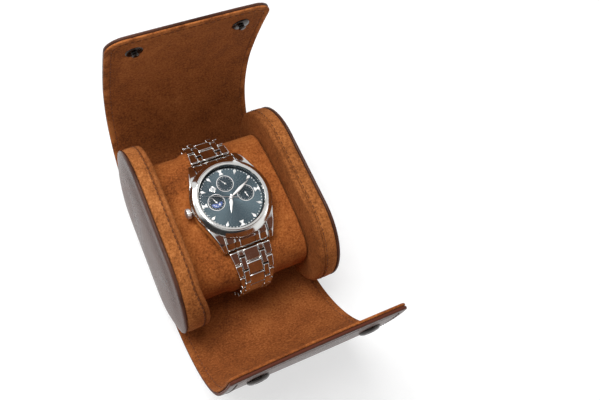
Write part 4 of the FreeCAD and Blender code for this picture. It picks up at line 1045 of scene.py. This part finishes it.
def lug(side, end):
    """A horn of the case: its outer edge runs on from the round of the case, its faces meet in soft corners."""
    stations = np.array([8.0, 10, 12, 14, 16, 18, 19.5, 21, 22.2, 23.2, 23.9, 24.3, 24.55])
    outer = np.interp(stations, (LUG_ROOT[1], LUG_TIP[1]), (LUG_ROOT[0], LUG_TIP[0]))
    inner = np.maximum(LUG_INNER, np.sqrt(np.maximum(CASE_BORE ** 2 - stations ** 2, 0)))
    top = np.interp(stations, *zip(*LUG_TOP))
    foot = np.interp(stations, *zip(*LUG_FOOT))
    corners = np.linspace(0, 2 * math.pi, 32, endpoint=False)
    square = [np.copysign(np.abs(v) ** 0.3, v) for v in (np.cos(corners), np.sin(corners))]
    points = []
    for y, a, b, low, high in zip(stations, inner, outer, foot, top):
        for across, up in zip(*square):
            points.append((side * ((a + b) / 2 + (b - a) / 2 * across), end * y,
                           (low + high) / 2 + (high - low) / 2 * up))
    return points, tube_faces(len(stations), len(corners))


case_parts = [lathe(CASE + CASE[:1], 128)] + [lug(side, end) for side in (1, -1) for end in (1, -1)]
watch_piece("watch_case_body", case_parts, finish["steel"], "cushion", "steel", ["watch_case"], angle=40)

DIAL_TOP = 6.6
DIAL = [(0.5, 6.2), (17.15, 6.2), (17.2, 6.3), (17.2, 6.58), (17.1, 6.6), (12, 6.6), (6, 6.6), (0.5, 6.6), (0.5, 6.2)]
for name, profile, segments, look, slot, node, angle in (
        ("watch_bezel_ring", BEZEL, 128, "steel", "steel", "watch_bezel", 30),
        ("watch_back", CASE_BACK, 96, "steel", "steel", "watch_case_back", 30),
        ("watch_glass", CRYSTAL, 96, "glass", "crystal", "watch_crystal", 40),
        ("watch_flange", CHAPTER, 128, "flange", "silver", "watch_chapter_ring", 40),
        ("watch_dial_plate", DIAL, 96, "dial", "dial", "watch_dial", 40)):
    watch_piece(name, [lathe(profile, segments)], finish[look], "cushion", slot, [node], angle=angle)

SUBDIAL_OFFSET, SUBDIAL_RADIUS = 7.9, 4.4
SUBDIALS = {"day_night": (SUBDIAL_OFFSET, 0), "date": (0, -SUBDIAL_OFFSET), "weekday": (-SUBDIAL_OFFSET, 0)}
DOT_RING, MARK_RING = 15.45, 14.2
DATE_OFFSET, DATE_TURN = 9.9, 135


def dial_place(distance, degrees):
    """A place on the dial, clockwise from 12 o'clock."""
    angle = math.radians(degrees)
    return distance * math.sin(angle), distance * math.cos(angle), DIAL_TOP


def oblong(left, low, right, high):
    return [(left, low), (right, low), (right, high), (left, high)]


print_parts = []
for minute in range(60):
    size = 0.36 if minute % 5 == 0 else 0.28
    dot = lathe([(0.01, 0.03), (size * 0.8, 0.03), (size, 0.0)], 10)
    print_parts.append(placed(dot, *dial_place(DOT_RING, 6 * minute)))
for x, y in SUBDIALS.values():
    for tick in range(24):
        bar = plate(oblong(-0.07, 3.15 if tick % 2 == 0 else 3.5, 0.07, 3.85), 0.03, 0.06, 0.01)
        print_parts.append(placed(bar, x, y, DIAL_TOP, 15 * tick))
DATE_PLACE = (*dial_place(DATE_OFFSET, DATE_TURN), DATE_TURN)
print_parts.append(placed(plate(oblong(-1.15, -1.15, 1.15, 1.15), 0.0, 0.05, 0.02), *DATE_PLACE))
watch_piece("watch_dial_print", print_parts, finish["white_print"], "cushion", "silver")
sill = plate(oblong(-1.5, -1.5, 1.5, -1.15), 0.0, 0.2, 0.08)
sills = [placed(placed(sill, turn=quarter), *DATE_PLACE) for quarter in (0, 90, 180, 270)]
watch_piece("watch_date_frame", sills, finish["silver"], "cushion", "silver")
numeral = [placed(plate(oblong(-0.08, -0.55, 0.08, 0.55), 0.06, 0.08, 0.01), -0.42)]
numeral += [ring(0.3, 0.14, 0.06, 0.08, 20, 0.3, y) for y in (-0.27, 0.27)]
numeral = [placed(part, *DATE_PLACE) for part in numeral]
watch_piece("watch_date_numeral", numeral, finish["subdial"], "cushion", "dial")

plates = [placed(lathe([(0.3, 0.02), (2.0, 0.03), (SUBDIAL_RADIUS - 0.2, 0.03), (SUBDIAL_RADIUS - 0.15, 0.0)], 64),
                 x, y, DIAL_TOP) for x, y in SUBDIALS.values()]
watch_piece("watch_subdial_plates", plates, finish["subdial"], "cushion", "dial")
rims = [ring(SUBDIAL_RADIUS, 0.3, DIAL_TOP, DIAL_TOP + 0.16, 64, x, y) for x, y in SUBDIALS.values()]
watch_piece("watch_subdial_rims", rims, finish["satin"], "cushion", "silver", ["watch_subdial_rings"], angle=30)
sky = [(2.9 * math.cos(a), 2.9 * math.sin(a)) for a in np.linspace(math.radians(8), math.radians(172), 24)]
sky += [(1.2 * math.cos(a), 0.35 + 0.55 * math.sin(a)) for a in np.linspace(math.pi, 0, 12)]
moon_place = (*SUBDIALS["day_night"], DIAL_TOP)
watch_piece("watch_moon_sky", [placed(plate(sky, 0.02, 0.05, 0.01), *moon_place)], finish["moon_blue"], "cushion",
            "dial")
moons = [placed(lathe([(0.01, 0.08), (size, 0.08), (size + 0.05, 0.04)], 20), x, y) for x, y, size in
         ((-1.15, 1.5, 0.55), (0.9, 1.75, 0.32), (1.75, 1.05, 0.24), (0.1, 2.2, 0.18))]
watch_piece("watch_moon_discs", [placed(part, *moon_place) for part in moons], finish["white_print"], "cushion",
            "silver")

BOW_TIE = [(-1.2, -1.4), (1.2, -1.4), (1.05, -0.9), (0.45, 0.0), (1.05, 0.9), (1.2, 1.4), (-1.2, 1.4), (-1.05, 0.9),
           (-0.45, 0.0), (-1.05, -0.9)]
DROP = [(0.0, -1.6), (0.3, -0.7), (0.72, 0.15), (0.78, 0.6), (0.5, 1.1), (0.0, 1.3), (-0.5, 1.1), (-0.78, 0.6),
        (-0.72, 0.15), (-0.3, -0.7)]
marks = []
for hour in range(12):
    outline = [(x, y + MARK_RING) for x, y in (BOW_TIE if hour % 3 == 0 else DROP)]
    marks.append(placed(plate(outline, 0.0, 0.3, 0.14), 0, 0, DIAL_TOP, 30 * hour))
watch_piece("watch_applied_marks", marks, finish["satin"], "cushion", "silver", ["watch_hour_markers"], angle=20)


def leaf(length, width, widest, tail, neck):
    """Outline of the right half of a leaf-shaped hand, from its tail to its tip."""
    rest = 1 - widest
    return [(neck, -tail), (neck, 0.08 * length), (0.75 * width, 0.6 * widest * length), (width, widest * length),
            (0.72 * width, (widest + 0.32 * rest) * length), (0.4 * width, (widest + 0.68 * rest) * length),
            (0.03, length)]


HANDS = {  # level, rest angle, length, half width, widest at, tail, neck, hub, place
    "hour": (7.06, 22, 8.4, 0.85, 0.3, 1.6, 0.35, 1.1, (0, 0)),
    "minute": (7.36, 244, 13.4, 0.8, 0.45, 1.8, 0.32, 0.95, (0, 0)),
    "second": (7.66, 111, 13.7, 0.2, 0.3, 4.0, 0.18, 0.8, (0, 0)),
    "day_night": (6.82, 155, 3.3, 0.225, 0.4, 0.9, 0.12, 0.5, SUBDIALS["day_night"]),
    "date": (6.82, 146, 3.3, 0.225, 0.4, 0.9, 0.12, 0.5, SUBDIALS["date"]),
    "weekday": (6.82, 347, 3.3, 0.225, 0.4, 0.9, 0.12, 0.5, SUBDIALS["weekday"]),
}
for hand, (level, angle, length, width, widest, tail, neck, hub, (x, y)) in HANDS.items():
    blade = ridged(leaf(length, width, widest, tail, neck), 0.0, 0.05, 0.14)
    boss = lathe([(0.01, 0.14), (0.6 * hub, 0.14), (0.9 * hub, 0.1), (hub, 0.0)], 32)
    parts = [placed(part, x, y, level, angle) for part in (blade, boss)]
    watch_piece(f"watch_{hand}_pointer", parts, finish["satin"], f"{hand}_hand", "silver", [f"watch_{hand}_hand"],
                angle=20)

CROWN_PROFILE = [(0.01, 2.8), (1.0, 2.78), (1.7, 2.68), (2.15, 2.45), (2.3, 2.28), (2.42, 2.22), (2.58, 2.1),
                 (2.62, 1.9), (2.62, 0.8), (2.56, 0.5), (2.3, 0.22), (1.7, 0.04), (0.6, 0.02)]
CROWN_START, STEM_LEVEL = 21.35, 4.0
crown_place = Matrix.Translation((CROWN_START, 0, STEM_LEVEL)) @ Matrix.Rotation(math.pi / 2, 4, "Y")
watch_piece("watch_winding_crown", [lathe(CROWN_PROFILE, 180, 18, 0.045)], finish["frosted"], "crown", "steel",
            ["watch_crown"], crown_place, 30)


# Bracelet: each CAD link with its edges rounded and polished


def link_hulls(node, soften):
    """The separate solids of a node as bevelled convex shapes."""
    work = bmesh.new()
    work.from_mesh(frame["nodes"][node].data)
    bmesh.ops.remove_doubles(work, verts=work.verts, dist=1e-6)
    left, parts = set(work.verts), []
    while left:
        group, front = set(), [left.pop()]
        while front:
            vert = front.pop()
            group.add(vert)
            for edge in vert.link_edges:
                other = edge.other_vert(vert)
                if other in left:
                    left.remove(other)
                    front.append(other)
        shape = bmesh.new()
        for vert in group:
            shape.verts.new(vert.co)
        hull = bmesh.ops.convex_hull(shape, input=shape.verts)
        bmesh.ops.delete(shape, geom=[v for v in hull["geom_interior"] if isinstance(v, bmesh.types.BMVert)],
                         context="VERTS")
        bmesh.ops.dissolve_limit(shape, angle_limit=math.radians(3), verts=shape.verts, edges=shape.edges)
        bmesh.ops.bevel(shape, geom=list(shape.edges), offset=soften, segments=3, profile=0.6, affect="EDGES",
                        clamp_overlap=True)
        shape.verts.index_update()
        parts.append(([v.co[:] for v in shape.verts], [[v.index for v in f.verts] for f in shape.faces]))
        shape.free()
    work.free()
    return merged(parts)


for node, soften in (("bracelet_outer_links", 0.32), ("bracelet_centre_links", 0.32), ("bracelet_narrow_links", 0.3)):
    piece = add_mesh(node.replace("links", "bars"), *link_hulls(node, soften * MM), finish["steel"])
    crisp(piece, 40)
    fixed(piece, "cushion", "steel", node)


CASE_CLEAR, END_REACH, RIB_STEPS = 21.14, 24.45, 9
END_TOP = ((17.5, 6.3), (21.6, 4.35), (24.0, 1.75), (24.45, -0.3))
END_FOOT = ((17.5, 2.1), (21.6, 0.45), (23.7, -1.45), (24.45, -0.7))


def end_finger(first, last, end):
    """One rib of an end link between the lugs, following the round of the case."""
    stations = np.linspace(first, last, 7)
    points = []
    for index, x in enumerate(stations):
        start = math.sqrt(CASE_CLEAR ** 2 - x ** 2)
        shrink = 0.2 if index in (0, len(stations) - 1) else 0.0
        along = np.linspace(start, END_REACH - shrink, RIB_STEPS)
        upper = zip(along, np.interp(along, *zip(*END_TOP)) - shrink)
        lower = zip(along[::-1], np.interp(along[::-1], *zip(*END_FOOT)) + shrink)
        points += [(x, end * y, z) for y, z in (*upper, *lower)]
    return points, tube_faces(len(stations), 2 * RIB_STEPS)


RIBS = [(-10.82, -6.8), (-6.65, -3.95), (-3.8, 3.8), (3.95, 6.65), (6.8, 10.82)]
fingers = [end_finger(first, last, end) for end in (1, -1) for first, last in RIBS]
watch_piece("bracelet_end_ribs", fingers, finish["steel"], "cushion", "steel", ["bracelet_end_links"], angle=35)


# Snap fasteners

SNAP_X = 27
STUD = [(0.01, 2.6), (1.1, 2.58), (1.7, 2.3), (1.8, 1.95), (1.5, 1.6), (1.35, 1.2), (1.5, 0.85), (2.6, 0.72),
        (3.9, 0.62), (4.3, 0.4), (4.4, 0.05), (4.3, -0.3), (0.01, -0.3)]
SOCKET = [(0.01, 0.2), (1.85, 0.2), (2.05, 0.35), (2.1, 0.9), (2.1, 1.15), (1.98, 1.35), (2.02, 1.55), (2.2, 1.64),
          (2.6, 1.64), (3.4, 1.55), (4.2, 1.25), (4.8, 0.85), (5.12, 0.45), (5.18, 0.25), (5.1, 0.1), (4.6, 0.02),
          (0.01, 0.02)]


def snaps(name, profile, seat, axis, body, node):
    """A pair of fasteners on one body: a profile turned about an axis at each seat."""
    turn = Vector((0, 0, 1)).rotation_difference(Vector(axis).normalized()).to_matrix().to_4x4()
    points, faces = lathe(profile, 48)
    parts = []
    for x in (-SNAP_X, SNAP_X):
        matrix = np.array(Matrix.Translation(Vector((x, *seat)) * MM) @ turn @ Matrix.Scale(MM, 4))
        parts.append((np.array(points) @ matrix[:3, :3].T + matrix[:3, 3], faces))
    piece = add_mesh(name, *merged(parts), finish["gunmetal"])
    crisp(piece, 50)
    fixed(piece, body, "gunmetal", node)


snaps("lid_snap_studs", STUD, (67.62, 98.12), (0, -0.985, -0.172), "lid_4", "snap_studs")
snaps("flap_snap_sockets", SOCKET, (-83.58, 74.94), (0, -0.999, 0.041), "flap_4", "snap_sockets")


# CAD pieces that stay as they are, mostly hidden inside the others

KEPT = {
    "steel": ["bracelet_link_pins", "bracelet_spring_bars", "clasp_cover", "clasp_blades", "watch_stem"],
    "silver": ["watch_hand_arbors"],
    "brass": ["watch_movement"],
    "board": ["left_end_core", "right_end_core"],
    "foam": ["cushion_core"],
}
for look, nodes in KEPT.items():
    for node in nodes:
        mesh = frame["nodes"][node].data
        mesh.materials.clear()
        mesh.materials.append(finish[look])
